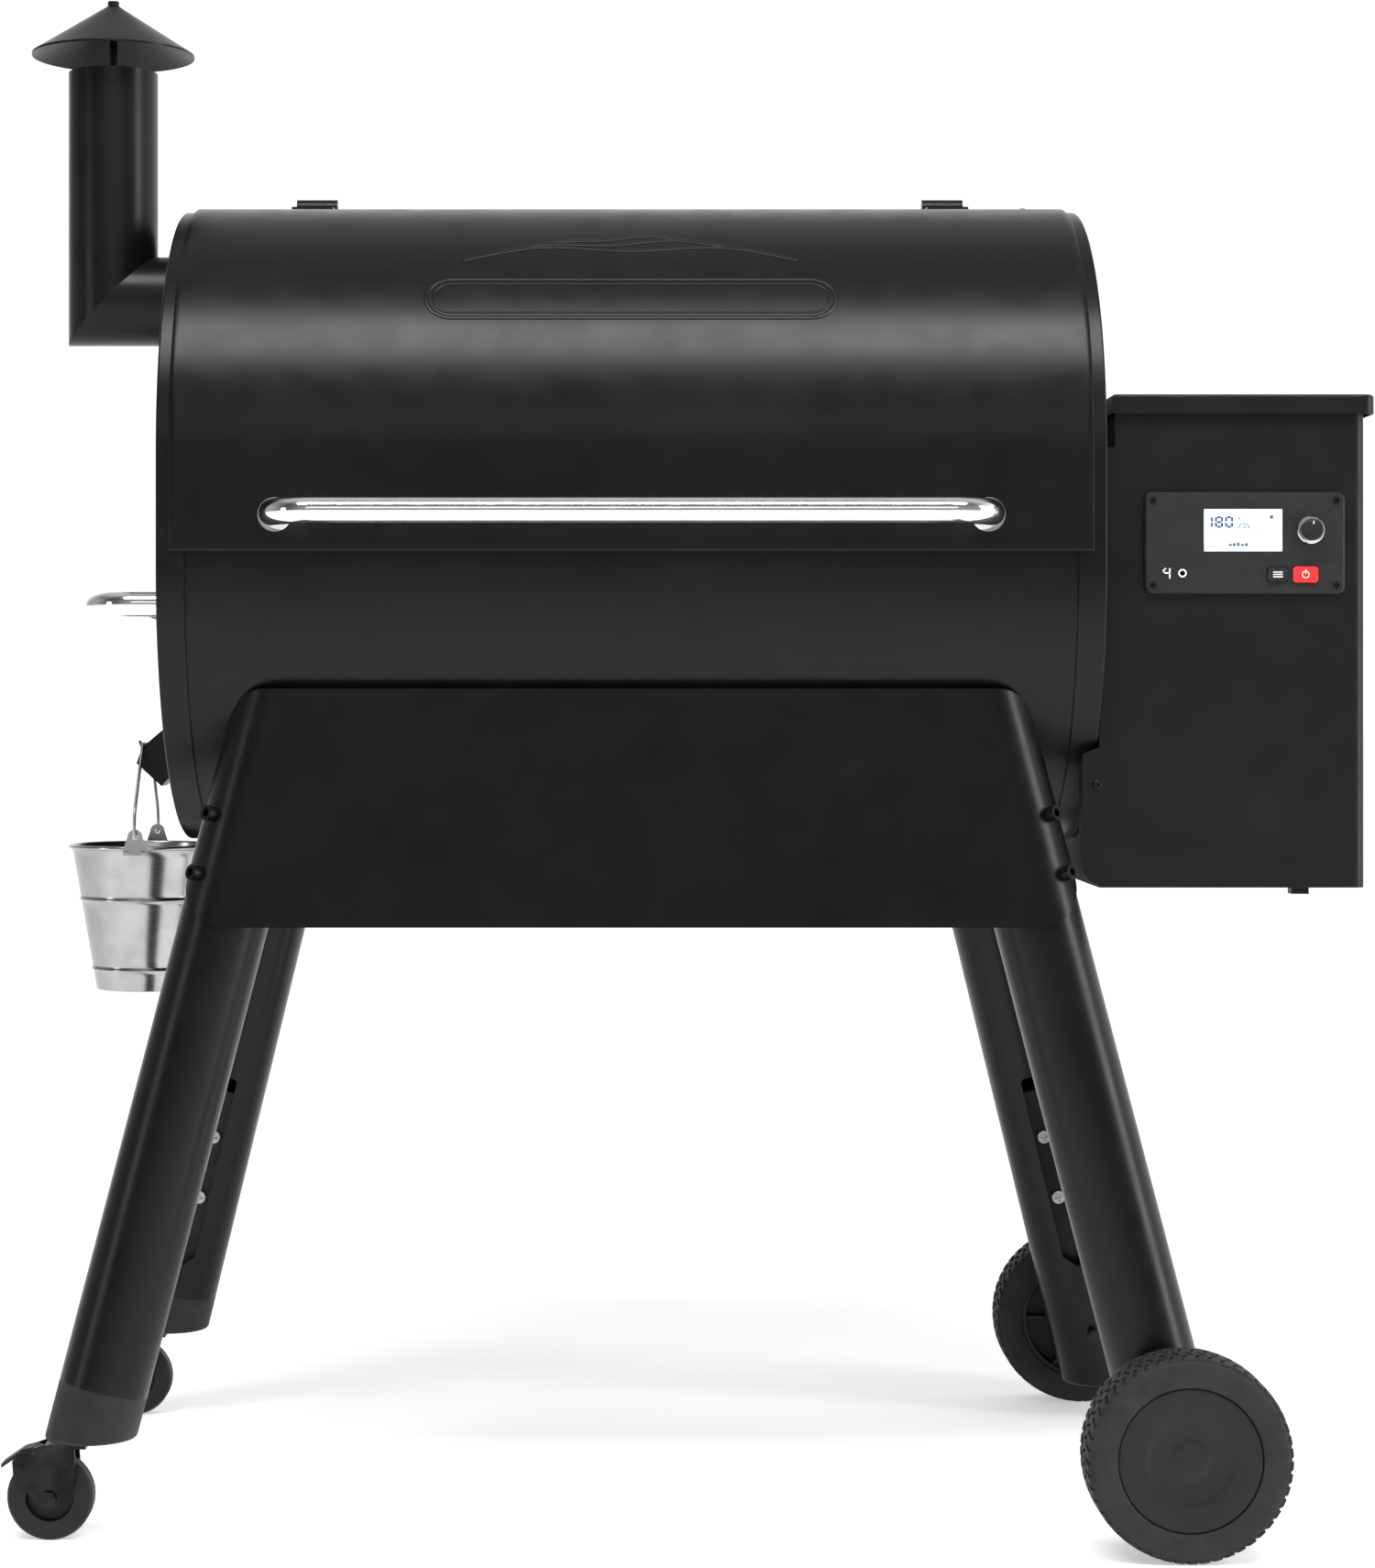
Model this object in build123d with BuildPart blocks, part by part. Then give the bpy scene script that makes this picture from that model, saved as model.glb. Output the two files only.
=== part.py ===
"""Pellet smoker grill: barrel cooker on four splayed legs, with a pellet hopper and a flue.

Millimetres, +Z up, front towards -Y. The origin is on the floor, midway along and across the grill.
Lengths along X are given from the barrel's middle and moved by barrel_x when a piece is placed.
"""

from build123d import *
import os
from math import cos, pi, radians, sin, sqrt

os.makedirs("parts", exist_ok=True)

# ---------------------------------------------------------------- overall layout
left_reach = 573.5      # barrel's middle to the flue cap's left edge
right_reach = 662.0     # barrel's middle to the hopper lid's right edge
barrel_x = (left_reach - right_reach) / 2
sheet = 2.0             # thickness of the steel sheet

# ---------------------------------------------------------------- barrel and lid
barrel_half = 416.7     # half the length over the end caps
cap_r = 246.0           # radius over the end caps' flanges
cap_flange = 25.0
shell_r = 243.0
low_arc_z = 847.0       # centre of the bottom half-round
high_arc_z = 947.0      # centre of the top half-round
mouth_z = 880.0         # front upper edge of the barrel under the lid
mouth_y = 10.0          # top edge of the barrel under the lid
mouth_half = 386.0
lid_r = 249.5
lid_sheet = 2.5
lid_half = 404.7
lid_low_z = 862.0
lid_back_y = 18.0
hinge_y = 32.0          # lid hinge axis
hinge_z = 1205.0
hinge_x = 300.0
hinge_width = 39.0
knuckle_r = 8.0
leaf = 2.5              # thickness of the lid hinges' leaves
middle_knuckle = 15.0
pin_r = 2.5
running_gap = 0.06      # radial clearance of shafts and pins
rack_front_y = 40.0     # upper grate's carrying rods
rack_back_y = 190.0
rack_z = 985.0

handle_r = 11.5
handle_wall = 1.6
lid_handle_half = 311.5
lid_handle_y = -313.0
lid_handle_z = 894.0
side_handle_y = 190.0
side_handle_x = -482.0
side_handle_z = 817.5

# ---------------------------------------------------------------- legs, aprons and wheels
leg_r = 39.0
leg_wall = 2.0
leg_x = 472.5           # leg axis at the height leg_z
leg_y = 248.0
leg_z = 88.5
lean_x = 0.25           # inward travel of the axis for each millimetre of height
lean_y = 0.09
caster_seam_z = 130.0   # where the left legs' tubes end
mount_seam_z = 140.0    # where the right legs' tubes end
mount_base_z = 33.0
caster_base_z = 88.0
slot_low_z = 142.0      # access slot's bottom corner on the outer side
slot_bend_z = 175.0     # and on the inner side
slot_high_z = 363.0
slot_in = 11.0          # slot's edges, from the leg axis
slot_out = 20.0
tongue_top_z = 345.0
leg_top_z = 712.0       # tubes stop here outside the barrel, behind the aprons
tongue_face = 20.0      # tongue's flat face, from the leg axis
leg_screw_levels = (229.0, 291.0)
apron_low_z = 533.0
apron_high_z = 742.0
apron_r = leg_r + 0.2   # inside of the apron's wrap
apron_bolt_levels = (569.5, 621.5)
apron_corner = 38.0
bolt_r = 3.9

wheel_r = 88.5
wheel_in_y = 293.0
wheel_out_y = 343.0
hub_r = 62.0
hub_in_y = 294.5
hub_out_y = 342.0
axle_r = 6.0

swivel_x = -484.0
caster_trail = 23.0
caster_r = 37.5
caster_width = 21.0
cheek_in = caster_width / 2 + 1     # fork cheek's faces, from the wheel's middle
cheek_out = cheek_in + 2.5
cheek_pin = cheek_out - 0.2
pedal_x = -520.0        # brake pedal's pin
pedal_z = 77.0
pedal_tip_x = -549.3

# ---------------------------------------------------------------- hopper
case_left = 417.0
case_right = 654.4
case_front = -196.0
case_back = 196.0
case_floor = 565.0
case_top = 996.0
case_corner = 11.0
notch_left = 431.0
notch_z = 957.0
hopper_lid_left = 427.5
hopper_lid_depth = 203.0
hopper_lid_low = 986.5
hopper_lid_top = 1003.9
hopper_hinge_y = 207.0
hopper_hinge_z = 987.0
hopper_hinge_xs = (480.0, 606.0)
hopper_knuckle_r = 3.6
bin_xs = (437.0, 641.0)
bin_ys = (-140.0, 186.0)
bin_wall = 1.5
panel_x = 545.4
panel_z = 871.7
panel_front = -202.0
panel_box = 41.0        # half height of the controller's box behind the plate
knob_x = 603.4
knob_z = 883.0
screen_x = 544.0
screen_z = 883.0
menu_x = 574.3
ignite_x = 599.0
button_z = 843.5
jack_x = 489.6
jack_z = 844.6
auger_z = 655.0
auger_tube_r = 26.0
fan_y = -75.0
fan_z = 680.0

# ---------------------------------------------------------------- flue
flue_x = -496.0
flue_y = 30.0
flue_z = 1115.0
flue_r = 42.5
flue_top = 1333.6
cap_rim_z = 1350.0
cap_rim_r = 77.5
cap_top_z = 1403.0
rod_r = 3.5
rod_top_z = 1388.0

# ---------------------------------------------------------------- grease spout and bucket
bail_x = -460.0
bail_z = 691.0
bucket_rim_z = 596.0
bucket_base_z = 458.5
bucket_rim_r = 73.0
bucket_base_r = 46.5
ear_z = 605.0           # bail's pivots in the ears above the rim
ear_half = 7.0
ear_in = 73.2           # ear plates' faces, from the bucket's middle
ear_out = 75.0
wire_r = 1.5
spout_half = 20.0


# ---------------------------------------------------------------- planes and small helpers
def level(z):
    """Horizontal plane; local x is measured from the barrel's middle, local y is Y."""
    return Plane(origin=(barrel_x, 0, z), x_dir=(1, 0, 0), z_dir=(0, 0, 1))


def front(y):
    """Upright plane facing the front; local x from the barrel's middle, local y is height."""
    return Plane(origin=(barrel_x, y, 0), x_dir=(1, 0, 0), z_dir=(0, -1, 0))


def side(x):
    """Upright plane across the barrel, facing right; local x is Y, local y is height."""
    return Plane(origin=(barrel_x + x, 0, 0), x_dir=(0, 1, 0), z_dir=(1, 0, 0))


def block(xs, ys, zs, mode=Mode.ADD):
    """Add or cut a square-edged block between two planes on each axis."""
    middle = [(low + high) / 2 for low, high in (xs, ys, zs)]
    with Locations((barrel_x + middle[0], middle[1], middle[2])):
        Box(xs[1] - xs[0], ys[1] - ys[0], zs[1] - zs[0], mode=mode)


def bar(plane, centre, radius, length, mode=Mode.ADD):
    """Add or cut a round bar that starts on a plane and runs along its normal."""
    with BuildSketch(plane) as section:
        with Locations(centre):
            Circle(radius)
    extrude(section.sketch, amount=length, mode=mode)


def stadium(x, radius, length, mode=Mode.ADD):
    """Add or cut a run of the barrel's section, upright sides between two half-rounds."""
    with BuildSketch(side(x)) as section:
        with Locations((0, (low_arc_z + high_arc_z) / 2)):
            SlotCenterToCenter(high_arc_z - low_arc_z, 2 * radius, rotation=90)
    extrude(section.sketch, amount=length, mode=mode)


def bent_tube(points, radius, wall, bend, twist=(0, 0, 1)):
    """Add a round tube (or a wire, with wall 0) along straight runs joined by tangent arcs."""
    with BuildLine() as route:
        FilletPolyline(*points, radius=bend)
    start = route.line @ 0
    with BuildSketch(Plane(origin=start, x_dir=twist, z_dir=route.line % 0)) as section:
        Circle(radius)
        if wall:
            Circle(radius - wall, mode=Mode.SUBTRACT)
    sweep(section.sketch, path=route.line)


def cross_slot(plane, centre, reach, depth):
    """Cut a cross recess into a screw head, from a plane on its top."""
    with BuildSketch(plane) as section:
        with Locations(centre):
            Rectangle(2 * reach, reach * 0.45)
            Rectangle(reach * 0.45, 2 * reach)
    extrude(section.sketch, amount=-depth, mode=Mode.SUBTRACT)


def save(piece, label):
    """Name a finished piece and write it."""
    piece.part.label = label
    export_step(piece.part, f"parts/{label}.step")


# ---------------------------------------------------------------- leg geometry
def leg_point(side_x, side_y, z):
    """Point of a leg's axis at a height."""
    rise = z - leg_z
    x = side_x * (leg_x - lean_x * rise)
    return Vector(barrel_x + x, side_y * (leg_y - lean_y * rise), z)


def leg_up(side_x, side_y):
    return Vector(-side_x * lean_x, -side_y * lean_y, 1).normalized()


def leg_face(side_y):
    """Direction square to a leg and to X: outward at the front or the rear."""
    return Vector(0, side_y, lean_y).normalized()


def leg_flank(side_x, side_y):
    """Direction square to a leg, outward at the grill's end."""
    return Vector(side_x * (1 + lean_y**2), -side_y * lean_x * lean_y, lean_x).normalized()


def across_leg(side_x, side_y, z):
    """Plane square to a leg; local x points to the grill's end, local y is side_x * side_y * face."""
    return Plane(
        origin=leg_point(side_x, side_y, z),
        x_dir=leg_flank(side_x, side_y),
        z_dir=leg_up(side_x, side_y),
    )


def along_leg(side_x, side_y, z, offset=0.0):
    """Plane through a leg facing its opposite leg; local x is side_x * side_y * flank, local y is up."""
    inward = leg_face(side_y) * -1
    return Plane(
        origin=leg_point(side_x, side_y, z) + inward * offset,
        x_dir=leg_flank(side_x, side_y) * (side_x * side_y),
        z_dir=inward,
    )


def bolt_plane(side_x, side_y, z):
    """Plane through a leg's axis that faces halfway between the grill's end and its face."""
    out = leg_face(side_y) + leg_flank(side_x, side_y)
    return Plane(origin=leg_point(side_x, side_y, z), z_dir=out.normalized())


def bolt_holes(side_x, side_y):
    """Cut the apron bolts' clearance holes."""
    for z in apron_bolt_levels:
        bar(bolt_plane(side_x, side_y, z), (0, 0), bolt_r + 0.2, leg_r + 5, Mode.SUBTRACT)


# ---------------------------------------------------------------- barrel
with BuildPart() as barrel_shell:
    stadium(-barrel_half + 2 * sheet, shell_r, 2 * barrel_half - 4 * sheet)
    stadium(-barrel_half, shell_r - sheet, 2 * barrel_half, Mode.SUBTRACT)
    block((-mouth_half, mouth_half), (-300, mouth_y), (mouth_z, 1300), Mode.SUBTRACT)
    for side_y in (-1, 1):
        wall_y = side_y * (shell_r - sheet / 2)
        lip_y = side_y * 222
        block((-380, 380), sorted((wall_y, lip_y)), (848, 850))
        block((-380, 380), sorted((lip_y, lip_y + side_y * sheet)), (836, 850))
save(barrel_shell, "barrel_shell")

with BuildPart() as barrel_room:
    stadium(-barrel_half, shell_r + 0.3, 2 * barrel_half)


def end_cap(side_x):
    """Flanged end cap with the tabs that carry the upper grate."""
    with BuildPart() as cap:
        stadium(side_x * (barrel_half - cap_flange), cap_r, side_x * cap_flange)
        rim = cap.edges().sort_by(Axis.X)[-4:] if side_x > 0 else cap.edges().sort_by(Axis.X)[:4]
        fillet(rim, 2.2)
        lip_x = side_x * (barrel_half - cap_flange)
        stadium(lip_x, shell_r + 0.2, side_x * (cap_flange - sheet), Mode.SUBTRACT)
        for y in (rack_front_y, rack_back_y):
            tab = sorted((side_x * (barrel_half - sheet / 2), side_x * (barrel_half - 14)))
            block(tab, (y - 9, y + 9), (rack_z - 5.6, rack_z - 3.6))
    return cap


left_cap_blank = end_cap(-1)
with BuildPart() as left_end_cap:
    add(left_cap_blank.part)
    bar(side(-barrel_half - 5), (flue_y, flue_z), flue_r + 0.2, 30, Mode.SUBTRACT)
    block((-barrel_half - 5, -400), (-spout_half + 1, spout_half - 1), (686, 719), Mode.SUBTRACT)
save(left_end_cap, "left_end_cap")

right_cap_blank = end_cap(1)
with BuildPart() as right_end_cap:
    add(right_cap_blank.part)
    bar(side(barrel_half - 30), (0, auger_z), auger_tube_r + 0.2, 40, Mode.SUBTRACT)
    bar(side(barrel_half - 30), (fan_y, fan_z), 38, 40, Mode.SUBTRACT)
save(right_end_cap, "right_end_cap")


# ---------------------------------------------------------------- aprons
def apron(side_y):
    """Skirt plate between two legs whose ends wrap round them."""
    face = leg_face(side_y)
    foot = leg_point(1, side_y, apron_low_z)
    origin = Vector(barrel_x, foot.Y, foot.Z) + face * apron_r
    slope = sqrt(1 + lean_y**2)
    reach = 12.0        # run past the trimmed edges
    corners = []
    for z in (apron_low_z - reach, apron_high_z + reach):
        corners.append((leg_x - lean_x * (z - leg_z), slope * (z - apron_low_z)))
    outline = corners + [(-x, y) for x, y in reversed(corners)]
    with BuildPart() as skirt:
        with BuildSketch(Plane(origin=origin, x_dir=(-side_y, 0, 0), z_dir=face)):
            Polygon(*outline, align=None)
        extrude(amount=sheet + 0.2)
        for side_x in (-1, 1):
            turn = side_x * side_y
            with BuildSketch(across_leg(side_x, side_y, apron_low_z - reach)):
                Circle(apron_r + sheet + 0.2)
                Circle(apron_r, mode=Mode.SUBTRACT)
                with Locations((30, turn * 24)):
                    Rectangle(60, 60, mode=Mode.INTERSECT)
            extrude(amount=apron_high_z - apron_low_z + 3 * reach)
        low_half = leg_x - lean_x * (apron_low_z - leg_z) + apron_r + 4
        high_half = leg_x - lean_x * (apron_high_z - leg_z) + apron_r + 4
        with BuildSketch(front(-300)) as silhouette:
            Polygon(
                (-low_half, apron_low_z),
                (low_half, apron_low_z),
                (high_half, apron_high_z),
                (-high_half, apron_high_z),
                align=None,
            )
            fillet(silhouette.vertices().group_by(Axis.Z)[-1], apron_corner)
        extrude(amount=-600, mode=Mode.INTERSECT)
        add(barrel_room.part, mode=Mode.SUBTRACT)
        for side_x in (-1, 1):
            bolt_holes(side_x, side_y)
    return skirt


save(apron(-1), "front_apron")
save(apron(1), "rear_apron")


# ---------------------------------------------------------------- legs
def leg(side_x, side_y, foot_z):
    """Round tube from its foot fitting up to the barrel's underside, with an access slot."""
    with BuildPart() as tube:
        with BuildSketch(across_leg(side_x, side_y, foot_z)):
            Circle(leg_r)
            Circle(leg_r - leg_wall, mode=Mode.SUBTRACT)
        extrude(amount=800 - foot_z)
        turn = side_x * side_y
        with BuildSketch(along_leg(side_x, side_y, foot_z)) as slot:
            Polygon(
                (turn * slot_out, slot_low_z - foot_z),
                (turn * slot_out, slot_high_z - foot_z),
                (-turn * slot_in, slot_high_z - foot_z),
                (-turn * slot_in, slot_bend_z - foot_z),
                align=None,
            )
            fillet(slot.vertices().sort_by(Axis.Z)[-2:], 5)
        extrude(amount=leg_r + 2, mode=Mode.SUBTRACT)
        bolt_holes(side_x, side_y)
        add(barrel_room.part, mode=Mode.SUBTRACT)
        block((-600, 600), (-400, 400), (leg_top_z, 900), Mode.SUBTRACT)
    return tube


save(leg(-1, -1, caster_seam_z), "front_left_leg")
save(leg(-1, 1, caster_seam_z), "rear_left_leg")
save(leg(1, -1, mount_seam_z), "front_right_leg")
save(leg(1, 1, mount_seam_z), "rear_right_leg")


def foot_fitting(side_x, side_y, seam_z, base_z):
    """Moulded fitting that ends a leg flush and reaches up inside it with a screwed tongue."""
    with BuildPart() as fitting:
        with BuildSketch(across_leg(side_x, side_y, seam_z)):
            Circle(leg_r)
        extrude(amount=-(seam_z - base_z) * 1.2 - 30)
        block((-600, 600), (-400, 400), (base_z - 90, base_z), Mode.SUBTRACT)
        fillet(fitting.faces().sort_by(Axis.Z)[0].edges(), 3)
        with BuildSketch(across_leg(side_x, side_y, seam_z)):
            Circle(leg_r - leg_wall - 0.4)
        extrude(amount=22)
        rise = tongue_top_z - seam_z
        with BuildSketch(along_leg(side_x, side_y, seam_z, tongue_face - 6)):
            with Locations((0, rise / 2)):
                Rectangle(58, rise)
        extrude(amount=6)
        for z in leg_screw_levels:
            bar(along_leg(side_x, side_y, z), (0, 0), 2.7, leg_r, Mode.SUBTRACT)
    return fitting


with BuildPart() as caster_sockets:
    for side_y in (-1, 1):
        add(foot_fitting(-1, side_y, caster_seam_z, caster_base_z).part)
    for side_y in (-1, 1):
        bar(level(caster_base_z - 1), (swivel_x, side_y * leg_y), 5.5 + running_gap, 39, Mode.SUBTRACT)
save(caster_sockets, "caster_sockets")

with BuildPart() as wheel_mounts:
    for side_y in (-1, 1):
        add(foot_fitting(1, side_y, mount_seam_z, mount_base_z).part)
    bar(front(330), (leg_x, leg_z), axle_r + 0.2, 660, Mode.SUBTRACT)
save(wheel_mounts, "wheel_mounts")

with BuildPart() as apron_bolts:
    for side_x in (-1, 1):
        for side_y in (-1, 1):
            for z in apron_bolt_levels:
                seat = bolt_plane(side_x, side_y, z)
                bar(seat.offset(leg_r - 9), (0, 0), bolt_r, 14)
                bar(seat.offset(apron_r + sheet + 0.3), (0, 0), 6.75, 9)
                with BuildSketch(seat.offset(apron_r + sheet + 9.4)) as socket:
                    RegularPolygon(3.9, 6)
                extrude(socket.sketch, amount=-5, mode=Mode.SUBTRACT)
save(apron_bolts, "apron_bolts")

with BuildPart() as leg_screws:
    for side_x in (-1, 1):
        for side_y in (-1, 1):
            for z in leg_screw_levels:
                seat = along_leg(side_x, side_y, z)
                bar(seat.offset(tongue_face - 8), (0, 0), 2.5, 9)
                bar(seat.offset(tongue_face + 0.1), (0, 0), 6.5, 3.6)
                cross_slot(seat.offset(tongue_face + 3.7), (0, 0), 3.6, 2.0)
save(leg_screws, "leg_screws")

# ---------------------------------------------------------------- wheels
with BuildPart() as wheel_axles:
    for side_y in (-1, 1):
        bar(front(side_y * 202), (leg_x, leg_z), axle_r, -side_y * 131)
        bar(front(side_y * 198), (leg_x, leg_z), 4.8, -side_y * 9)
        bar(front(side_y * 199.6), (leg_x, leg_z), 6.5, -side_y * 7.4)
        bar(front(side_y * 288), (leg_x, leg_z), 9, -side_y * 4.6)
        bar(front(side_y * 333), (leg_x, leg_z), 9, -side_y * 2.5)
save(wheel_axles, "wheel_axles")


def turned(centre_x, centre_z, outline):
    """Add a round piece about an axle along Y; the outline gives radius and Y."""
    axle = (barrel_x + centre_x, 0, centre_z)
    with BuildSketch(Plane(origin=axle, x_dir=(1, 0, 0), z_dir=(0, 0, 1))) as section:
        Polygon(*outline, align=None)
    revolve(section.sketch, axis=Axis(origin=axle, direction=(0, 1, 0)))


def wheel_tyre(side_y):
    """Tyre with rounded shoulders."""
    shoulder = 6.0
    with BuildPart() as tyre:
        turned(
            leg_x,
            leg_z,
            [
                (hub_r, side_y * wheel_in_y),
                (wheel_r - shoulder, side_y * wheel_in_y),
                (wheel_r - 2, side_y * (wheel_in_y + shoulder - 2)),
                (wheel_r, side_y * (wheel_in_y + shoulder + 4)),
                (wheel_r, side_y * (wheel_out_y - shoulder - 4)),
                (wheel_r - 2, side_y * (wheel_out_y - shoulder + 2)),
                (wheel_r - shoulder, side_y * wheel_out_y),
                (hub_r, side_y * wheel_out_y),
            ],
        )
    return tyre


def wheel_hub(side_y):
    """Moulded hub with a shallow dish outside, and pockets between six ribs inside."""
    bore = axle_r + running_gap
    boss = 17.0
    rim_in = hub_r - 5
    pocket = 12.0
    outline = [
        (bore, hub_in_y),
        (boss, hub_in_y),
        (boss, hub_in_y + pocket),
        (rim_in, hub_in_y + pocket),
        (rim_in, hub_in_y + 0.5),
        (hub_r - 0.05, hub_in_y + 0.5),
        (hub_r - 0.05, hub_out_y),
        (38, hub_out_y - 0.5),
        (34, hub_out_y - 2),
        (18, hub_out_y - 3),
        (14, hub_out_y - 1.5),
        (0, hub_out_y - 1.5),
        (0, hub_out_y - 5),
        (11, hub_out_y - 5),
        (11, hub_out_y - 9.4),
        (bore, hub_out_y - 9.4),
    ]
    with BuildPart() as hub:
        turned(leg_x, leg_z, [(radius, side_y * y) for radius, y in outline])
        with BuildSketch(front(side_y * (hub_in_y + 2))) as ribs:
            with Locations((leg_x, leg_z)):
                with PolarLocations((boss + rim_in) / 2, 6):
                    Rectangle(rim_in - boss + 2, 4)
        extrude(ribs.sketch, amount=-side_y * pocket)
    return hub


save(wheel_tyre(-1), "front_wheel_tyre")
save(wheel_hub(-1), "front_wheel_hub")
save(wheel_tyre(1), "rear_wheel_tyre")
save(wheel_hub(1), "rear_wheel_hub")


# ---------------------------------------------------------------- casters
def caster_fork(side_y):
    """Swivel stem and head with two cheeks and the wheel's axle."""
    y = side_y * leg_y
    wheel_x = swivel_x - caster_trail
    with BuildPart() as fork:
        for cheek_y in (y - cheek_out, y + cheek_in):
            with BuildSketch(front(cheek_y)) as cheek:
                with Locations((wheel_x, caster_r)):
                    Polygon(
                        (22, 46),
                        (23.5, 20),
                        (21, 8),
                        (8, -7.5),
                        (-8, -7.5),
                        (-20, 6),
                        (-31, 18),
                        (-32, 32),
                        (-27, 39),
                        (-5, 46.5),
                        align=None,
                    )
                    Circle(11.2)
            extrude(cheek.sketch, amount=-(cheek_out - cheek_in))
        block((swivel_x - 27, swivel_x + 9), (y - cheek_out, y + cheek_out), (80, 83.9))
        bar(level(83.8), (swivel_x, y), 14, 3.4)
        bar(level(84), (swivel_x, y), 5.5, 40)
        bar(front(y + cheek_out + 4), (wheel_x, caster_r), 4, 2 * cheek_out + 8)
        for nut_y in (y + cheek_out + 3.4, y - cheek_out):
            with BuildSketch(front(nut_y)) as nut:
                with Locations((wheel_x, caster_r)):
                    RegularPolygon(7, 6)
            extrude(nut.sketch, amount=3.4)
        bar(front(y + 20), (pedal_x, pedal_z), 2 + running_gap, 40, Mode.SUBTRACT)
    return fork


def caster_wheel(side_y):
    """Solid wheel with a hollowed web."""
    half = caster_width / 2
    y = side_y * leg_y
    with BuildPart() as wheel:
        turned(
            swivel_x - caster_trail,
            caster_r,
            [
                (4 + running_gap, y - half),
                (10, y - half),
                (10.5, y - 4),
                (20, y - 4),
                (21, y - half),
                (caster_r - 2, y - half),
                (caster_r, y - half + 3),
                (caster_r, y + half - 3),
                (caster_r - 2, y + half),
                (21, y + half),
                (20, y + 4),
                (10.5, y + 4),
                (10, y + half),
                (4 + running_gap, y + half),
            ],
        )
    return wheel


def caster_brake(side_y):
    """Foot pedal on a pin through the fork, with a shoe over the wheel."""
    y = side_y * leg_y
    tip = pedal_tip_x - pedal_x
    with BuildPart() as pedal:
        with BuildSketch(front(y + 10)) as profile:
            with Locations((pedal_x, pedal_z)):
                Polygon(
                    (5, -2),
                    (5, 3),
                    (-1, 4.5),
                    (-11, 2),
                    (tip, -10.5),
                    (tip, -14),
                    (-16, -5),
                    (-14, -7),
                    (-10, -4),
                    (-2, -2.6),
                    align=None,
                )
        extrude(profile.sketch, amount=20)
        bar(front(y + cheek_pin), (pedal_x, pedal_z), 2, 2 * cheek_pin)
    return pedal


for side_y, place in ((-1, "front"), (1, "rear")):
    save(caster_fork(side_y), f"{place}_caster_fork")
    save(caster_wheel(side_y), f"{place}_caster_wheel")
    save(caster_brake(side_y), f"{place}_caster_brake")

# ---------------------------------------------------------------- flue
with BuildPart() as chimney_pipe:
    with BuildLine() as flue_route:
        Polyline(
            (barrel_x - barrel_half + 10, flue_y, flue_z),
            (barrel_x + flue_x, flue_y, flue_z),
            (barrel_x + flue_x, flue_y, flue_top),
        )
    with BuildSketch(Plane(origin=flue_route.line @ 0, z_dir=flue_route.line % 0)):
        Circle(flue_r)
        Circle(flue_r - 1.6, mode=Mode.SUBTRACT)
    sweep(path=flue_route.line, transition=Transition.RIGHT)
    with BuildSketch(side(-barrel_half - 2.3)):
        with Locations((flue_y, flue_z)):
            Circle(flue_r + 16)
            Circle(flue_r - 1, mode=Mode.SUBTRACT)
    extrude(amount=2)
save(chimney_pipe, "chimney_pipe")

with BuildPart() as chimney_rod:
    bar(level(1300), (flue_x, flue_y), rod_r, rod_top_z - 1300)
    bar(level(1304), (flue_x, flue_y), 9, 8)
    spider_half = flue_r - 2.2
    block((flue_x - spider_half, flue_x + spider_half), (flue_y - 4, flue_y + 4), (1304, 1307))
    block((flue_x - 4, flue_x + 4), (flue_y - spider_half, flue_y + spider_half), (1304, 1307))
save(chimney_rod, "chimney_rod")

with BuildPart() as chimney_cap:
    with BuildSketch(Plane(origin=(barrel_x + flue_x, flue_y, 0), x_dir=(1, 0, 0), z_dir=(0, -1, 0))):
        Polygon(
            (cap_rim_r, cap_rim_z),
            (cap_rim_r, cap_rim_z + 2),
            (8, cap_top_z - 6),
            (5.5, cap_top_z - 4),
            (5.5, cap_top_z),
            (0, cap_top_z),
            (0, cap_top_z - 4.5),
            (rod_r + running_gap, cap_top_z - 4.5),
            (rod_r + running_gap, cap_top_z - 35),
            (7, cap_top_z - 35),
            (7, cap_top_z - 8.5),
            align=None,
        )
    revolve(axis=Axis(origin=(barrel_x + flue_x, flue_y, 0), direction=(0, 0, 1)))
save(chimney_cap, "chimney_cap")

# ---------------------------------------------------------------- handles
with BuildPart() as lid_handle:
    lid_face = -lid_r
    bent_tube(
        [
            (barrel_x - lid_handle_half, lid_face - 1, lid_handle_z),
            (barrel_x - lid_handle_half, lid_handle_y, lid_handle_z),
            (barrel_x + lid_handle_half, lid_handle_y, lid_handle_z),
            (barrel_x + lid_handle_half, lid_face - 1, lid_handle_z),
        ],
        handle_r,
        handle_wall,
        40,
    )
    for side_x in (-1, 1):
        bar(front(lid_face - 0.1), (side_x * lid_handle_half, lid_handle_z), handle_r + 3.5, 3)
save(lid_handle, "lid_handle")

with BuildPart() as side_handle:
    end_face = -barrel_half
    bent_tube(
        [
            (barrel_x + end_face - 1, -side_handle_y, side_handle_z),
            (barrel_x + side_handle_x, -side_handle_y, side_handle_z),
            (barrel_x + side_handle_x, side_handle_y, side_handle_z),
            (barrel_x + end_face - 1, side_handle_y, side_handle_z),
        ],
        handle_r,
        handle_wall,
        40,
    )
    for side_y in (-1, 1):
        bar(side(end_face - 3.1), (side_y * side_handle_y, side_handle_z), handle_r + 4, 3)
save(side_handle, "side_handle")

# ---------------------------------------------------------------- lid
with BuildPart() as lid_shell:
    stadium(-lid_half, lid_r, 2 * lid_half)
    stadium(-lid_half - 1, lid_r - lid_sheet, 2 * lid_half + 2, Mode.SUBTRACT)
    block((-lid_half, lid_half), (-300, lid_back_y), (lid_low_z, 1300), Mode.INTERSECT)
save(lid_shell, "lid_shell")

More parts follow.
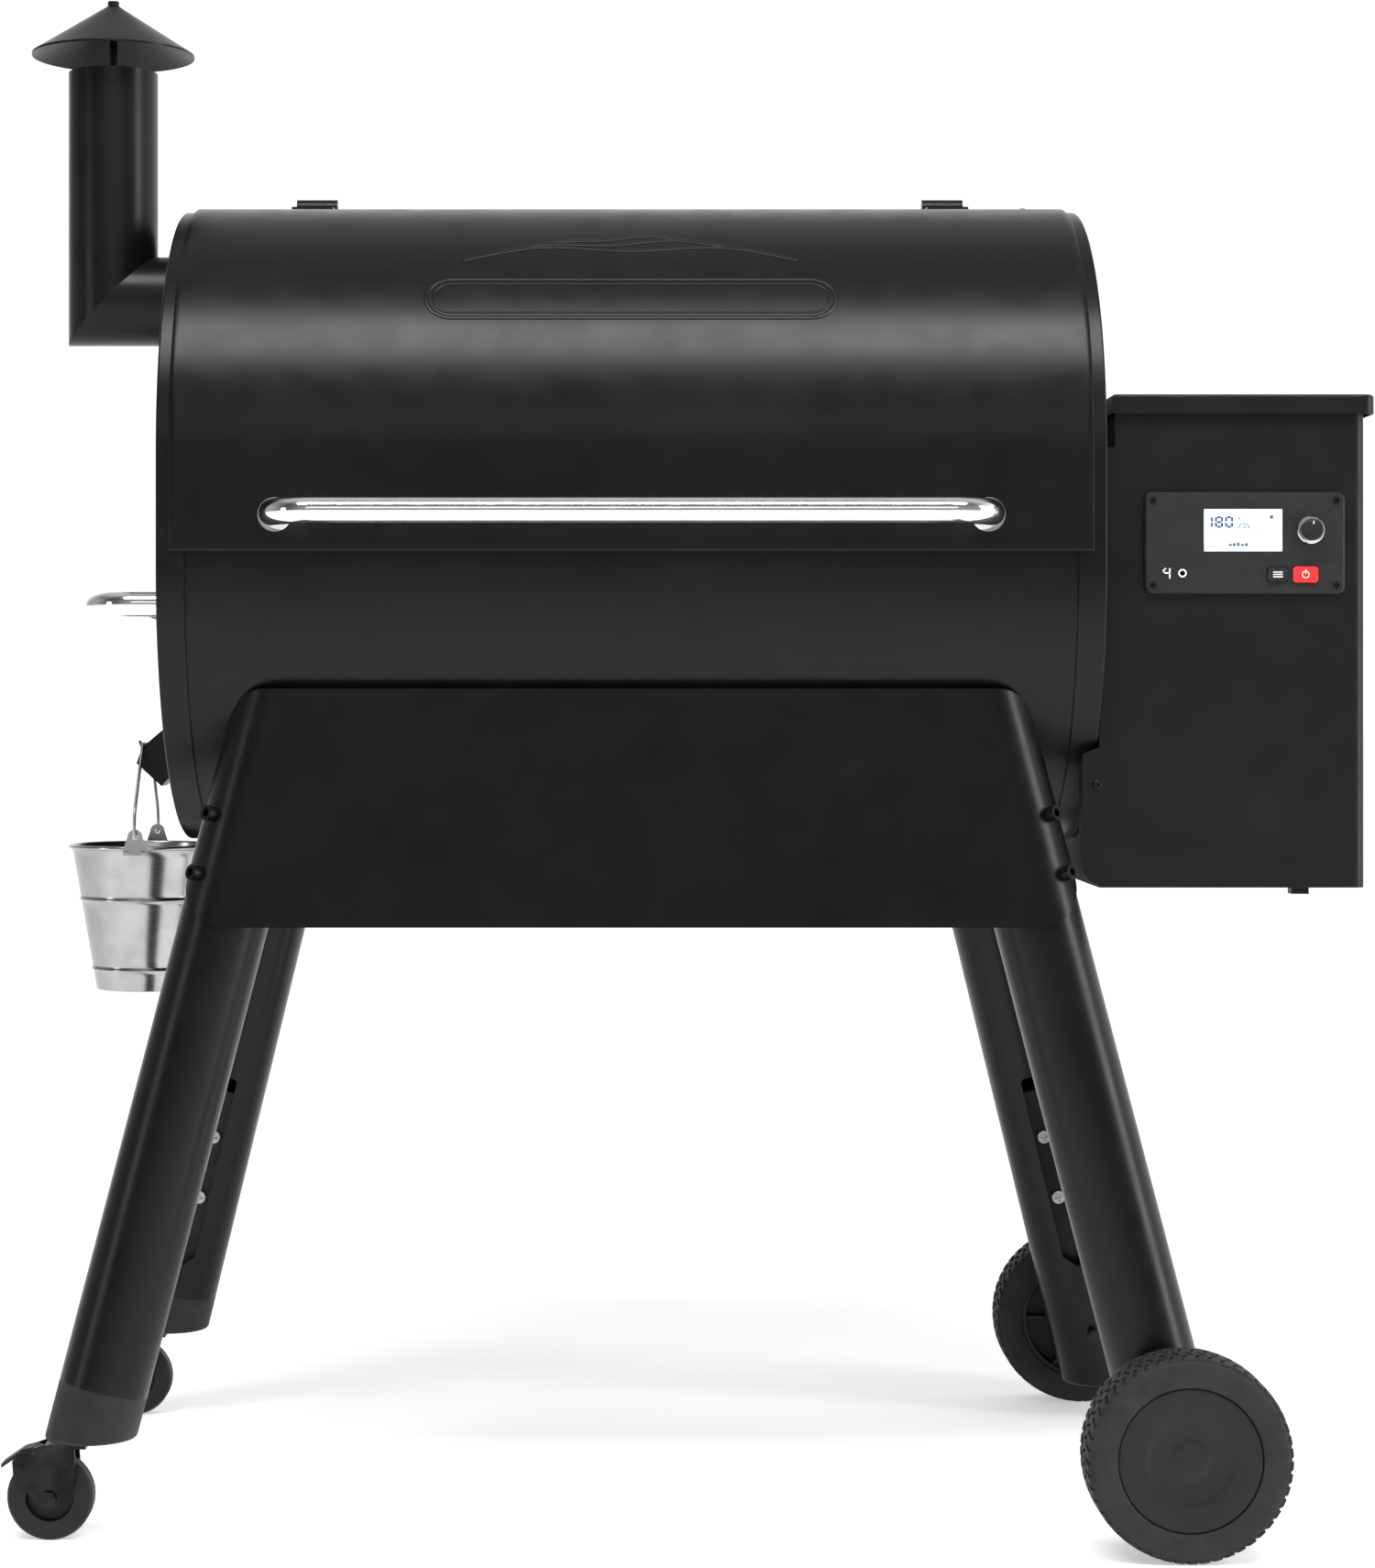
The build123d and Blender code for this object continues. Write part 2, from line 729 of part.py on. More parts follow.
def skin_strip(xs, ys, radius):
    """Add a strip of sheet laid on the barrel's top curve."""
    with BuildSketch(side(xs[0])) as strip:
        with Locations((0, high_arc_z)):
            Circle(radius + leaf)
            Circle(radius, mode=Mode.SUBTRACT)
        with Locations(((ys[0] + ys[1]) / 2, high_arc_z + radius)):
            Rectangle(ys[1] - ys[0], 60, mode=Mode.INTERSECT)
    extrude(strip.sketch, amount=xs[1] - xs[0])


with BuildPart() as lid_hinge_leaves:
    for x in (-hinge_x, hinge_x):
        skin_strip((x - hinge_width / 2, x + hinge_width / 2), (-24, 24), lid_r + 0.1)
        knuckle = (x - middle_knuckle / 2, x + middle_knuckle / 2)
        skin_strip(knuckle, (20, hinge_y), lid_r + 0.1)
        bar(side(knuckle[0]), (hinge_y, hinge_z), knuckle_r, middle_knuckle)
        block(knuckle, (hinge_y - 6.5, hinge_y), (high_arc_z + lid_r - 1.0, hinge_z))
        bar(side(knuckle[0] - 1), (hinge_y, hinge_z), pin_r + running_gap, middle_knuckle + 2, Mode.SUBTRACT)
save(lid_hinge_leaves, "lid_hinge_leaves")

with BuildPart() as lid_hinge_brackets:
    for x in (-hinge_x, hinge_x):
        ends = (x - hinge_width / 2, x + hinge_width / 2)
        skin_strip(ends, (42, 78), shell_r + 0.1)
        for start, stop in ((ends[0], x - middle_knuckle / 2 - 0.4), (x + middle_knuckle / 2 + 0.4, ends[1])):
            bar(side(start), (hinge_y, hinge_z), knuckle_r, stop - start)
            with BuildSketch(side(start)) as web:
                Polygon(
                    (hinge_y + 2, hinge_z - 6),
                    (hinge_y + 6, hinge_z - 2),
                    (47, high_arc_z + 243.5),
                    (47, high_arc_z + 240),
                    (43, high_arc_z + 240.2),
                    align=None,
                )
            extrude(web.sketch, amount=stop - start)
        bar(side(ends[0]), (hinge_y, hinge_z), pin_r, hinge_width)
    add(barrel_room.part, mode=Mode.SUBTRACT)
save(lid_hinge_brackets, "lid_hinge_brackets")

# ---------------------------------------------------------------- grease spout and bucket
with BuildPart() as grease_spout:
    with BuildSketch(front(spout_half)):
        Polygon(
            (-barrel_half - 0.1, 725.6),
            (-461.4, 687.5),
            (-466.6, 672.6),
            (-443.0, 651.0),
            (-barrel_half - 0.1, 679.0),
            align=None,
        )
    extrude(amount=2 * spout_half)
    with BuildSketch(front(spout_half - 1.6)):
        Polygon(
            (-barrel_half + 2, 722.0),
            (-barrel_half - 0.1, 722.6),
            (-459.0, 687.0),
            (-480.0, 672.6),
            (-457.0, 639.0),
            (-445.0, 653.0),
            (-barrel_half - 0.1, 681.2),
            (-barrel_half + 2, 681.2),
            align=None,
        )
    extrude(amount=2 * spout_half - 3.2, mode=Mode.SUBTRACT)
    with BuildSketch(front(4)):
        Polygon(
            (-459.8, 686.6),
            (-464.5, 686.0),
            (-467.0, 693.5),
            (-465.4, 694.0),
            (-463.2, 688.3),
            (-460.9, 687.9),
            align=None,
        )
    extrude(amount=8)
    trough_xs = (-barrel_half + sheet + 0.1, -378)
    block(trough_xs, (-150, 150), (685.5, 706))
    block((trough_xs[0] - 1, trough_xs[1] - 1.5), (-148.5, 148.5), (687.5, 710), Mode.SUBTRACT)
    block((-420, trough_xs[0] + 2), (-spout_half + 1.2, spout_half - 1.2), (686.1, 687.5))
save(grease_spout, "grease_spout")

with BuildPart() as bucket_bail:
    wire_x = barrel_x + bail_x
    bent_tube(
        [
            (wire_x, -70.8, ear_z),
            (wire_x, -78.5, ear_z),
            (wire_x, -78.5, ear_z + 20),
            (wire_x, -24, bail_z),
            (wire_x, 24, bail_z),
            (wire_x, 78.5, ear_z + 20),
            (wire_x, 78.5, ear_z),
            (wire_x, 70.8, ear_z),
        ],
        wire_r,
        0,
        [3, 30, 10, 10, 30, 3],
        (1, 0, 0),
    )
save(bucket_bail, "bucket_bail")

with BuildPart() as drip_bucket:
    with BuildSketch(Plane(origin=(barrel_x + bail_x, 0, 0), x_dir=(1, 0, 0), z_dir=(0, -1, 0))):
        Polygon(
            (0, bucket_base_z),
            (bucket_base_r, bucket_base_z),
            (bucket_rim_r - 2.5, bucket_rim_z - 4),
            (bucket_rim_r, bucket_rim_z - 4),
            (bucket_rim_r, bucket_rim_z),
            (bucket_rim_r - 3.7, bucket_rim_z),
            (bucket_base_r - 1.2, bucket_base_z + 1.2),
            (0, bucket_base_z + 1.2),
            align=None,
        )
    revolve(axis=Axis(origin=(barrel_x + bail_x, 0, 0), direction=(0, 0, 1)))
    ear_xs = (bail_x - ear_half, bail_x + ear_half)
    for side_y in (-1, 1):
        block(ear_xs, sorted((side_y * 71, side_y * ear_out)), (bucket_rim_z - 4, bucket_rim_z))
        block(ear_xs, sorted((side_y * ear_in, side_y * ear_out)), (bucket_rim_z - 7, ear_z))
        bar(front(side_y * ear_in), (bail_x, ear_z), ear_half, -side_y * (ear_out - ear_in))
    bar(front(90), (bail_x, ear_z), wire_r + running_gap, 19, Mode.SUBTRACT)
    bar(front(-71), (bail_x, ear_z), wire_r + running_gap, 19, Mode.SUBTRACT)
save(drip_bucket, "drip_bucket")


# ---------------------------------------------------------------- hopper case, bin and lid
def case_section(left, z, inset):
    """Section of the hopper case with rounded right-hand corners."""
    with BuildSketch(level(z)) as section:
        with Locations(((left + case_right) / 2, (case_front + case_back) / 2)):
            Rectangle(case_right - left - 2 * inset, case_back - case_front - 2 * inset)
        fillet(section.vertices().group_by(Axis.X)[-1], case_corner - inset)
    return section.sketch


with BuildPart() as hopper_case:
    extrude(case_section(case_left, case_floor, 0), amount=notch_z - case_floor)
    extrude(case_section(notch_left, notch_z, 0), amount=case_top - notch_z)
    extrude(
        case_section(case_left, case_floor + sheet, sheet),
        amount=notch_z - case_floor - 2 * sheet,
        mode=Mode.SUBTRACT,
    )
    extrude(
        case_section(notch_left, notch_z - sheet, sheet),
        amount=case_top - notch_z + 2 * sheet,
        mode=Mode.SUBTRACT,
    )
    with BuildSketch(front(case_front + sheet)):
        Polygon((case_left, 690), (402, 684), (402, 578), (408, 571), (case_left, 567), align=None)
    extrude(amount=sheet)
    block((402, 404), (case_front, case_front + 22), (580, 668))
    block((604, 620), (-120, -104), (case_floor - 10, case_floor + sheet / 2))
    bar(side(case_left - 2), (0, auger_z), auger_tube_r + 0.4, 10, Mode.SUBTRACT)
    bar(side(case_left - 2), (fan_y, fan_z), 38, 10, Mode.SUBTRACT)
    block((panel_x - 80, panel_x + 80), (case_front - 1, case_front + 3),
          (panel_z - panel_box - 0.6, panel_z + panel_box + 0.6), Mode.SUBTRACT)
    block((587, 613), (case_back - 3, case_back + 1), (600, 620), Mode.SUBTRACT)
    for slot_x in (460, 480, 500, 520, 540):
        block((slot_x, slot_x + 8), (40, 120), (case_floor - 1, case_floor + 3), Mode.SUBTRACT)
save(hopper_case, "hopper_case")

def bin_body(inset):
    """The bin as a solid: upright box, funnel and outlet sleeve."""
    throat = (84 - 2 * inset, 48 - 2 * inset)
    width = bin_xs[1] - bin_xs[0] - 2 * inset
    depth = bin_ys[1] - bin_ys[0] - 2 * inset
    centre = ((bin_xs[0] + bin_xs[1]) / 2, (bin_ys[0] + bin_ys[1]) / 2)
    with BuildPart() as body:
        with BuildSketch(level(800)):
            with Locations(centre):
                Rectangle(width, depth)
        extrude(amount=case_top + 1 - 800)
        with BuildSketch(level(800)):
            with Locations(centre):
                Rectangle(width, depth)
        with BuildSketch(level(700)):
            with Locations((540, 0)):
                Rectangle(*throat)
        loft()
        with BuildSketch(level(666)):
            with Locations((540, 0)):
                Rectangle(*throat)
        extrude(amount=34)
    return body


with BuildPart() as hopper_bin:
    add(bin_body(0).part)
    extrude(case_section(notch_left, case_top + 0.1, 1), amount=sheet)
    add(bin_body(bin_wall).part, mode=Mode.SUBTRACT)
    block((bin_xs[0] + bin_wall, bin_xs[1] - bin_wall), (bin_ys[0] + bin_wall, bin_ys[1] - bin_wall),
          (case_top - 5, case_top + 5), Mode.SUBTRACT)
    bar(side(450), (0, auger_z), auger_tube_r + 0.2, 180, Mode.SUBTRACT)
save(hopper_bin, "hopper_bin")

with BuildPart() as hopper_lid:
    lid_xs = (hopper_lid_left, right_reach)
    lid_ys = (-hopper_lid_depth, hopper_lid_depth)
    with BuildSketch(level(hopper_lid_low)) as lid_outline:
        with Locations(((lid_xs[0] + lid_xs[1]) / 2, 0)):
            Rectangle(lid_xs[1] - lid_xs[0], lid_ys[1] - lid_ys[0])
        fillet(lid_outline.vertices().group_by(Axis.X)[-1], case_corner)
    extrude(amount=hopper_lid_top - hopper_lid_low)
    fillet(hopper_lid.faces().sort_by(Axis.Z)[-1].edges(), 3)
    with BuildSketch(level(hopper_lid_low)) as lid_hollow:
        with Locations(((lid_xs[0] + lid_xs[1]) / 2, 0)):
            Rectangle(lid_xs[1] - lid_xs[0] - 2 * sheet, lid_ys[1] - lid_ys[0] - 2 * sheet)
        fillet(lid_hollow.vertices().group_by(Axis.X)[-1], case_corner - sheet)
    extrude(amount=hopper_lid_top - hopper_lid_low - sheet, mode=Mode.SUBTRACT)
    for x in hopper_hinge_xs:
        tab_zs = (hopper_hinge_z - 1, hopper_hinge_z + 3.4)
        block((x - 9.6, x + 9.6), (hopper_lid_depth - sheet, hopper_hinge_y), tab_zs)
        bar(side(x - 9.6), (hopper_hinge_y, hopper_hinge_z), hopper_knuckle_r, 19.2)
        bar(side(x - 10), (hopper_hinge_y, hopper_hinge_z), 2 + running_gap, 20, Mode.SUBTRACT)
save(hopper_lid, "hopper_lid")

with BuildPart() as hopper_hinge:
    leaf_ys = (case_back + 0.1, case_back + 2.1)
    for x in hopper_hinge_xs:
        block((x - 22, x + 22), leaf_ys, (hopper_hinge_z - 36, hopper_hinge_z - 4.4))
        for start, stop in ((x - 22, x - 10), (x + 10, x + 22)):
            bar(side(start), (hopper_hinge_y, hopper_hinge_z), hopper_knuckle_r, stop - start)
            web_zs = (hopper_hinge_z - hopper_knuckle_r, hopper_hinge_z - 1.2)
            block((start, stop), (leaf_ys[0], hopper_hinge_y), web_zs)
            block((start, stop), leaf_ys, (hopper_hinge_z - 6, hopper_hinge_z - 1.2))
        bar(side(x - 22), (hopper_hinge_y, hopper_hinge_z), 2, 44)
save(hopper_hinge, "hopper_hinge")

# ---------------------------------------------------------------- controller
panel_half = (89.0, 45.0)
plate = case_front - panel_front
box_back = case_front + 40

with BuildPart() as control_panel:
    with BuildSketch(front(case_front - 0.1)):
        with Locations((panel_x, panel_z)):
            RectangleRounded(2 * panel_half[0], 2 * panel_half[1], 6.6)
    extrude(amount=plate - 0.1)
    chamfer(control_panel.faces().sort_by(Axis.Y)[0].edges(), 1.5)
    box_zs = (panel_z - panel_box, panel_z + panel_box)
    block((panel_x - 79, panel_x + 79), (case_front - 1, box_back), box_zs)
    block((panel_x - 77, panel_x + 77), (case_front, box_back - 1.5),
          (panel_z - panel_box + 1.5, panel_z + panel_box - 1.5), Mode.SUBTRACT)
    block((screen_x - 35, screen_x + 35), (panel_front - 1, case_front + 1), (screen_z - 19, screen_z + 19),
          Mode.SUBTRACT)
    block((menu_x - 9.3, menu_x + 9.3), (panel_front - 1, case_front + 1), (button_z - 6.3, button_z + 6.3),
          Mode.SUBTRACT)
    through = (panel_front - 1, case_front + 1)
    block((ignite_x - 11.3, ignite_x + 11.3), through, (button_z - 7.5, button_z + 7.5), Mode.SUBTRACT)
    bar(front(case_front + 1), (knob_x, knob_z), 4.2, 10, Mode.SUBTRACT)
    bar(front(case_front + 1), (jack_x, jack_z), 3.2, 10, Mode.SUBTRACT)
    for screw_x in (-1, 1):
        for screw_z in (-1, 1):
            spot = (panel_x + screw_x * (panel_half[0] - 7.5), panel_z + screw_z * (panel_half[1] - 7.5))
            bar(front(case_front + 1), spot, 1.7, 10, Mode.SUBTRACT)
save(control_panel, "control_panel")

with BuildPart() as panel_screws:
    for screw_x in (-1, 1):
        for screw_z in (-1, 1):
            spot = (panel_x + screw_x * (panel_half[0] - 7.5), panel_z + screw_z * (panel_half[1] - 7.5))
            bar(front(case_front - 0.4), spot, 1.5, plate + 0.5)
            bar(front(panel_front - 0.1), spot, 2.7, 1.4)
            cross_slot(front(panel_front - 1.5), spot, 1.7, 0.9)
save(panel_screws, "panel_screws")

with BuildPart() as display_module:
    window_zs = (screen_z - 18.8, screen_z + 18.8)
    block((screen_x - 34.8, screen_x + 34.8), (panel_front + 1, case_front + 4), window_zs)
    board_zs = (screen_z - 20.5, screen_z + 20.5)
    block((screen_x - 37, screen_x + 37), (case_front + 0.2, case_front + 10), board_zs)
save(display_module, "display_module")


def push_button(centre_x, width, height):
    """Button cap with a retaining flange behind the panel."""
    with BuildPart() as button:
        with BuildSketch(front(case_front + 0.4)):
            with Locations((centre_x, button_z)):
                RectangleRounded(width, height, 2.5)
        extrude(amount=8.8)
        block((centre_x - width / 2 - 1.8, centre_x + width / 2 + 1.8), (case_front + 0.4, case_front + 2.4),
              (button_z - height / 2 - 1.8, button_z + height / 2 + 1.8))
        bar(front(case_front + 12), (centre_x, button_z), 2, 10)
    return button


save(push_button(menu_x, 18.0, 12.0), "menu_button")
save(push_button(ignite_x, 22.0, 14.3), "ignite_button")

with BuildPart() as knob_shaft:
    bar(front(case_front + 16), (knob_x, knob_z), 3, 32)
    bar(front(case_front + 16), (knob_x, knob_z), 5, 6)
save(knob_shaft, "knob_shaft")

with BuildPart() as control_knob:
    bar(front(panel_front - 1.8), (knob_x, knob_z), 9.8, 13)
    chamfer(control_knob.faces().sort_by(Axis.Y)[0].edges(), 1.0)
    bar(front(panel_front - 1.8), (knob_x, knob_z), 12, 2.5)
    bar(front(panel_front - 1), (knob_x, knob_z), 3 + running_gap, 10.6, Mode.SUBTRACT)
save(control_knob, "control_knob")

with BuildPart() as probe_jack:
    bar(front(case_front + 14), (jack_x, jack_z), 3, 21)
    bar(front(panel_front - 0.1), (jack_x, jack_z), 3.7, 1.6)
    bar(front(case_front + 10), (jack_x, jack_z), 1.8, 25, Mode.SUBTRACT)
save(probe_jack, "probe_jack")

# ---------------------------------------------------------------- feed and burner
with BuildPart() as auger_tube:
    bar(side(53), (0, auger_z), auger_tube_r, 549)
    bar(side(50), (0, auger_z), auger_tube_r - 2, 550, Mode.SUBTRACT)
    bar(side(598), (0, auger_z), 8.3, 10, Mode.SUBTRACT)
    block((500, 580), (-20, 20), (auger_z + 8, auger_z + 40), Mode.SUBTRACT)
save(auger_tube, "auger_tube")

flight_r = 22.5
flight_pitch = 50.0
flight_run = 500.0
with BuildPart() as auger_screw:
    bar(side(64), (0, auger_z), 8, 550)
    flight_start = (barrel_x + 70, 0, auger_z)
    with BuildLine() as flight_line:
        Helix(
            pitch=flight_pitch,
            height=flight_run,
            radius=14.8,
            center=flight_start,
            direction=(1, 0, 0),
        )
    flight_root = flight_line.line @ 0
    outward = (Vector(*flight_root) - Vector(*flight_start)).normalized()
    with BuildSketch(Plane(origin=flight_root, x_dir=outward, z_dir=flight_line.line % 0)):
        Rectangle(2 * (flight_r - 14.8), 2.4)
    sweep(path=flight_line.line, is_frenet=True)
save(auger_screw, "auger_screw")

with BuildPart() as auger_motor:
    block((603, 644), (-32, 32), (620, 690))
    bar(front(32), (624, auger_z), 22, -58)
    bar(side(602), (0, auger_z), 8 + running_gap, 14, Mode.SUBTRACT)
save(auger_motor, "auger_motor")

with BuildPart() as fan_housing:
    block((420, 446), (fan_y - 45, fan_y + 45), (fan_z - 45, fan_z + 45))
    bar(side(419), (fan_y, fan_z), 41, 30, Mode.SUBTRACT)
    block((442, 446), (fan_y - 43, fan_y + 43), (fan_z - 4, fan_z + 4))
    block((442, 446), (fan_y - 4, fan_y + 4), (fan_z - 43, fan_z + 43))
    bar(side(440), (fan_y, fan_z), 15, 6)
    bar(side(430), (fan_y, fan_z), 2.5 + running_gap, 14, Mode.SUBTRACT)
save(fan_housing, "fan_housing")

blade_count = 7
with BuildPart() as fan_impeller:
    bar(side(423), (fan_y, fan_z), 14, 16)
    bar(side(423), (fan_y, fan_z), 2.5, 20)
    for blade in range(blade_count):
        angle = 2 * pi * blade / blade_count
        out = Vector(0, cos(angle), sin(angle))
        around = Vector(0, -sin(angle), cos(angle))
        pitch = radians(35)
        chord = Vector(1, 0, 0) * sin(pitch) + around * cos(pitch)
        hub_point = Vector(barrel_x + 431, fan_y, fan_z) + out * 12
        with BuildSketch(Plane(origin=hub_point, x_dir=chord, z_dir=out)) as root:
            Rectangle(20, 1.6)
        extrude(root.sketch, amount=26)
save(fan_impeller, "fan_impeller")

with BuildPart() as power_inlet:
    block((576, 624), (case_back + 0.1, case_back + 3.1), (596, 624))
    block((587.2, 612.8), (case_back - 22, case_back + 1), (600.2, 619.8))
    block((588.5, 611.5), (case_back - 16, case_back + 4), (602, 618), Mode.SUBTRACT)
    for pin_x, pin_z in ((593, 608), (600, 612.5), (607, 608)):
        block((pin_x - 1, pin_x + 1), (case_back - 17, case_back - 4), (pin_z - 2, pin_z + 2))
save(power_inlet, "power_inlet")

pot_r = 55.0
pot_top = 704.0
with BuildPart() as barrel_hollow:
    stadium(-barrel_half, shell_r - sheet - 0.2, 2 * barrel_half)

with BuildPart() as fire_pot:
    bar(level(600), (0, 0), pot_r, pot_top - 600)
    bar(level(616), (0, 0), pot_r - 3, pot_top - 600, Mode.SUBTRACT)
    bar(level(590), (0, 0), pot_r - 3, 23, Mode.SUBTRACT)
    bar(side(20), (0, auger_z), auger_tube_r + 0.2, 60, Mode.SUBTRACT)
    bar(side(20), (0, 621), 5, 60, Mode.SUBTRACT)
    with BuildSketch(level(610)):
        with PolarLocations(36, 10):
            Circle(3)
        with PolarLocations(20, 6):
            Circle(3)
    extrude(amount=10, mode=Mode.SUBTRACT)
    add(barrel_hollow.part, mode=Mode.INTERSECT)
save(fire_pot, "fire_pot")

with BuildPart() as igniter_rod:
    bar(side(44), (0, 621), 4.6, 120)
save(igniter_rod, "igniter_rod")

with BuildPart() as heat_baffle:
    block((-160, 160), (-120, 120), (600, 717))
    block((-158, 158), (-121, 121), (590, 715), Mode.SUBTRACT)
    block((100, 170), (-28, 28), (590, auger_z), Mode.SUBTRACT)
    bar(side(150), (0, auger_z), 28, 20, Mode.SUBTRACT)
    add(barrel_hollow.part, mode=Mode.INTERSECT)
save(heat_baffle, "heat_baffle")

tray_left = -384.0
tray_right = 384.0
tray_low = 726.0
tray_high = 760.0
with BuildPart() as drip_tray:
    with BuildSketch(front(195)):
        Polygon(
            (tray_left, tray_low),
            (tray_right, tray_high),
            (tray_right, tray_high + 18),
            (tray_left, tray_low + 18),
            align=None,
        )
    extrude(amount=390)
    with BuildSketch(front(193.5)):
        Polygon(
            (tray_left - 1, tray_low + 1.5),
            (tray_right - 1.5, tray_high + 1.5),
            (tray_right - 1.5, tray_high + 30),
            (tray_left - 1, tray_low + 30),
            align=None,
        )
    extrude(amount=387, mode=Mode.SUBTRACT)
save(drip_tray, "drip_tray")


# ---------------------------------------------------------------- grates and probe
def grate(xs, ys, z, rod, bars):
    """Rod grille: a frame of two long rods joined by many cross rods laid over them."""
    gap = (xs[1] - xs[0] - 2 * rod) / (bars - 1)
    with BuildPart() as grille:
        for y in (ys[0] + rod, ys[1] - rod):
            bar(side(xs[0]), (y, z), rod, xs[1] - xs[0])
        for index in range(bars):
            bar(front(ys[1]), (xs[0] + rod + index * gap, z + rod), rod * 0.8, ys[1] - ys[0])
    return grille


save(grate((-376, 376), (-236, 236), 854.2, 4.0, 36), "main_grate")

with BuildPart() as upper_grate:
    add(grate((-372, 372), (rack_front_y - 3.5, rack_back_y + 3.5), rack_z, 3.5, 28).part)
    for y in (rack_front_y, rack_back_y):
        bar(side(-barrel_half + 3), (y, rack_z), 3.5, 2 * barrel_half - 6)
save(upper_grate, "upper_grate")

with BuildPart() as temperature_probe:
    bar(side(-barrel_half + sheet + 0.1), (206, 905), 9, 3)
    bar(side(-barrel_half + sheet + 0.1), (206, 905), 2.5, 66)
save(temperature_probe, "temperature_probe")
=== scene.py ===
"""Looks of the pellet smoker grill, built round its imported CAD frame.

Metres, +Z up, front towards -Y. Places come from the frame's own boxes.
"""
import math

import bmesh
import bpy
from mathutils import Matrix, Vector


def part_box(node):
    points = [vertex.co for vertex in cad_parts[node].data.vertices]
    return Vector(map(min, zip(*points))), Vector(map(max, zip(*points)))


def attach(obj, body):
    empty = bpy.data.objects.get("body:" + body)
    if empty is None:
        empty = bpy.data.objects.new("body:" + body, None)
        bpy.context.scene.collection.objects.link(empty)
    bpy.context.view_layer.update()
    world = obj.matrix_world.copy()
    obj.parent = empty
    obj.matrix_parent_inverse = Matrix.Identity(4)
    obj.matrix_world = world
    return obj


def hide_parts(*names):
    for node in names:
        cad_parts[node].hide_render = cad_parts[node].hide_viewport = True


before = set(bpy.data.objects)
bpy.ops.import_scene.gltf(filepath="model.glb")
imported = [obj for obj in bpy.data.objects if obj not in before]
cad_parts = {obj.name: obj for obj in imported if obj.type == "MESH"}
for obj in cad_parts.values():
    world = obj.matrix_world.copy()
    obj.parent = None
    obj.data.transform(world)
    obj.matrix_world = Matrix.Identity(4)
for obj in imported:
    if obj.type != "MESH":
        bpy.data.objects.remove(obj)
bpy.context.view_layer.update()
mm = 0.001


# ---------------------------------------------------------------- materials
def new_material(name, colour, roughness, metallic=0.0, sheen=0.5):
    """A Principled material with its uniform values on the shader's own sockets."""
    material = bpy.data.materials.new(name)
    material.use_nodes = True
    shader = material.node_tree.nodes["Principled BSDF"]
    shader.inputs["Base Color"].default_value = (*colour, 1)
    shader.inputs["Roughness"].default_value = roughness
    shader.inputs["Metallic"].default_value = metallic
    shader.inputs["Specular IOR Level"].default_value = sheen
    return material, shader


def noise(material, scale, detail=2.0, stretch=(1, 1, 1), seed=0.0):
    """Noise in the object's own coordinates; scale is cells per metre."""
    tree = material.node_tree
    place = tree.nodes.new("ShaderNodeTexCoord")
    mapping = tree.nodes.new("ShaderNodeMapping")
    mapping.inputs["Scale"].default_value = stretch
    mapping.inputs["Location"].default_value = (seed, seed * 0.7, seed * 0.3)
    texture = tree.nodes.new("ShaderNodeTexNoise")
    texture.inputs["Scale"].default_value = scale
    texture.inputs["Detail"].default_value = detail
    tree.links.new(place.outputs["Object"], mapping.inputs["Vector"])
    tree.links.new(mapping.outputs["Vector"], texture.inputs["Vector"])
    return texture.outputs["Fac"]


def ranged(material, value, low, high, start=0.3, stop=0.7):
    """Map a noise value onto a range."""
    tree = material.node_tree
    node = tree.nodes.new("ShaderNodeMapRange")
    node.inputs["From Min"].default_value = start
    node.inputs["From Max"].default_value = stop
    node.inputs["To Min"].default_value = low
    node.inputs["To Max"].default_value = high
    tree.links.new(value, node.inputs["Value"])
    return node.outputs["Result"]


def ramp(material, value, stops):
    """Colours along a value: stops are (position, colour)."""
    tree = material.node_tree
    node = tree.nodes.new("ShaderNodeValToRGB")
    elements = node.color_ramp.elements
    while len(elements) < len(stops):
        elements.new(0.5)
    for element, (position, colour) in zip(elements, stops):
        element.position = position
        element.color = (*colour, 1)
    tree.links.new(value, node.inputs["Fac"])
    return node.outputs["Color"]


def bumped(material, shader, value, depth, strength=1.0, under=None):
    """Bump of a real depth in metres, on top of another bump if one is given."""
    tree = material.node_tree
    node = tree.nodes.new("ShaderNodeBump")
    node.inputs["Distance"].default_value = depth
    node.inputs["Strength"].default_value = strength
    tree.links.new(value, node.inputs["Height"])
    if under is not None:
        tree.links.new(under, node.inputs["Normal"])
    tree.links.new(node.outputs["Normal"], shader.inputs["Normal"])
    return node.outputs["Normal"]


def tinted(material, shader, value, dark, light):
    """Base colour that wanders between two tones."""
    colour = ramp(material, value, [(0.35, dark), (0.65, light)])
    material.node_tree.links.new(colour, shader.inputs["Base Color"])


def rough(material, shader, value, low, high):
    """Roughness that wanders between two values."""
    material.node_tree.links.new(ranged(material, value, low, high), shader.inputs["Roughness"])


def powder_coat(name, dark, light, smooth, matt):
    """Baked powder paint: fine orange peel, a faint wave of the sheet under it, dusty variation."""
    material, shader = new_material(name, light, matt, sheen=0.2)
    tinted(material, shader, noise(material, 14, 5), dark, light)
    rough(material, shader, noise(material, 30, 6, seed=3), smooth, matt)
    wave = bumped(material, shader, noise(material, 9, 1, seed=7), 0.0006, 0.25)
    bumped(material, shader, noise(material, 900, 2), 0.00008, 0.35, wave)
    return material


def bare_metal(name, dark, light, smooth, matt, grain=(1, 1, 1), scale=300, depth=0.00003):
    """Metal with a grain; stretch the grain to draw brushed lines."""
    material, shader = new_material(name, light, matt, 1.0)
    tinted(material, shader, noise(material, 40, 4), dark, light)
    rough(material, shader, noise(material, scale, 4, grain), smooth, matt)
    bumped(material, shader, noise(material, scale, 3, grain, seed=2), depth, 0.4)
    return material


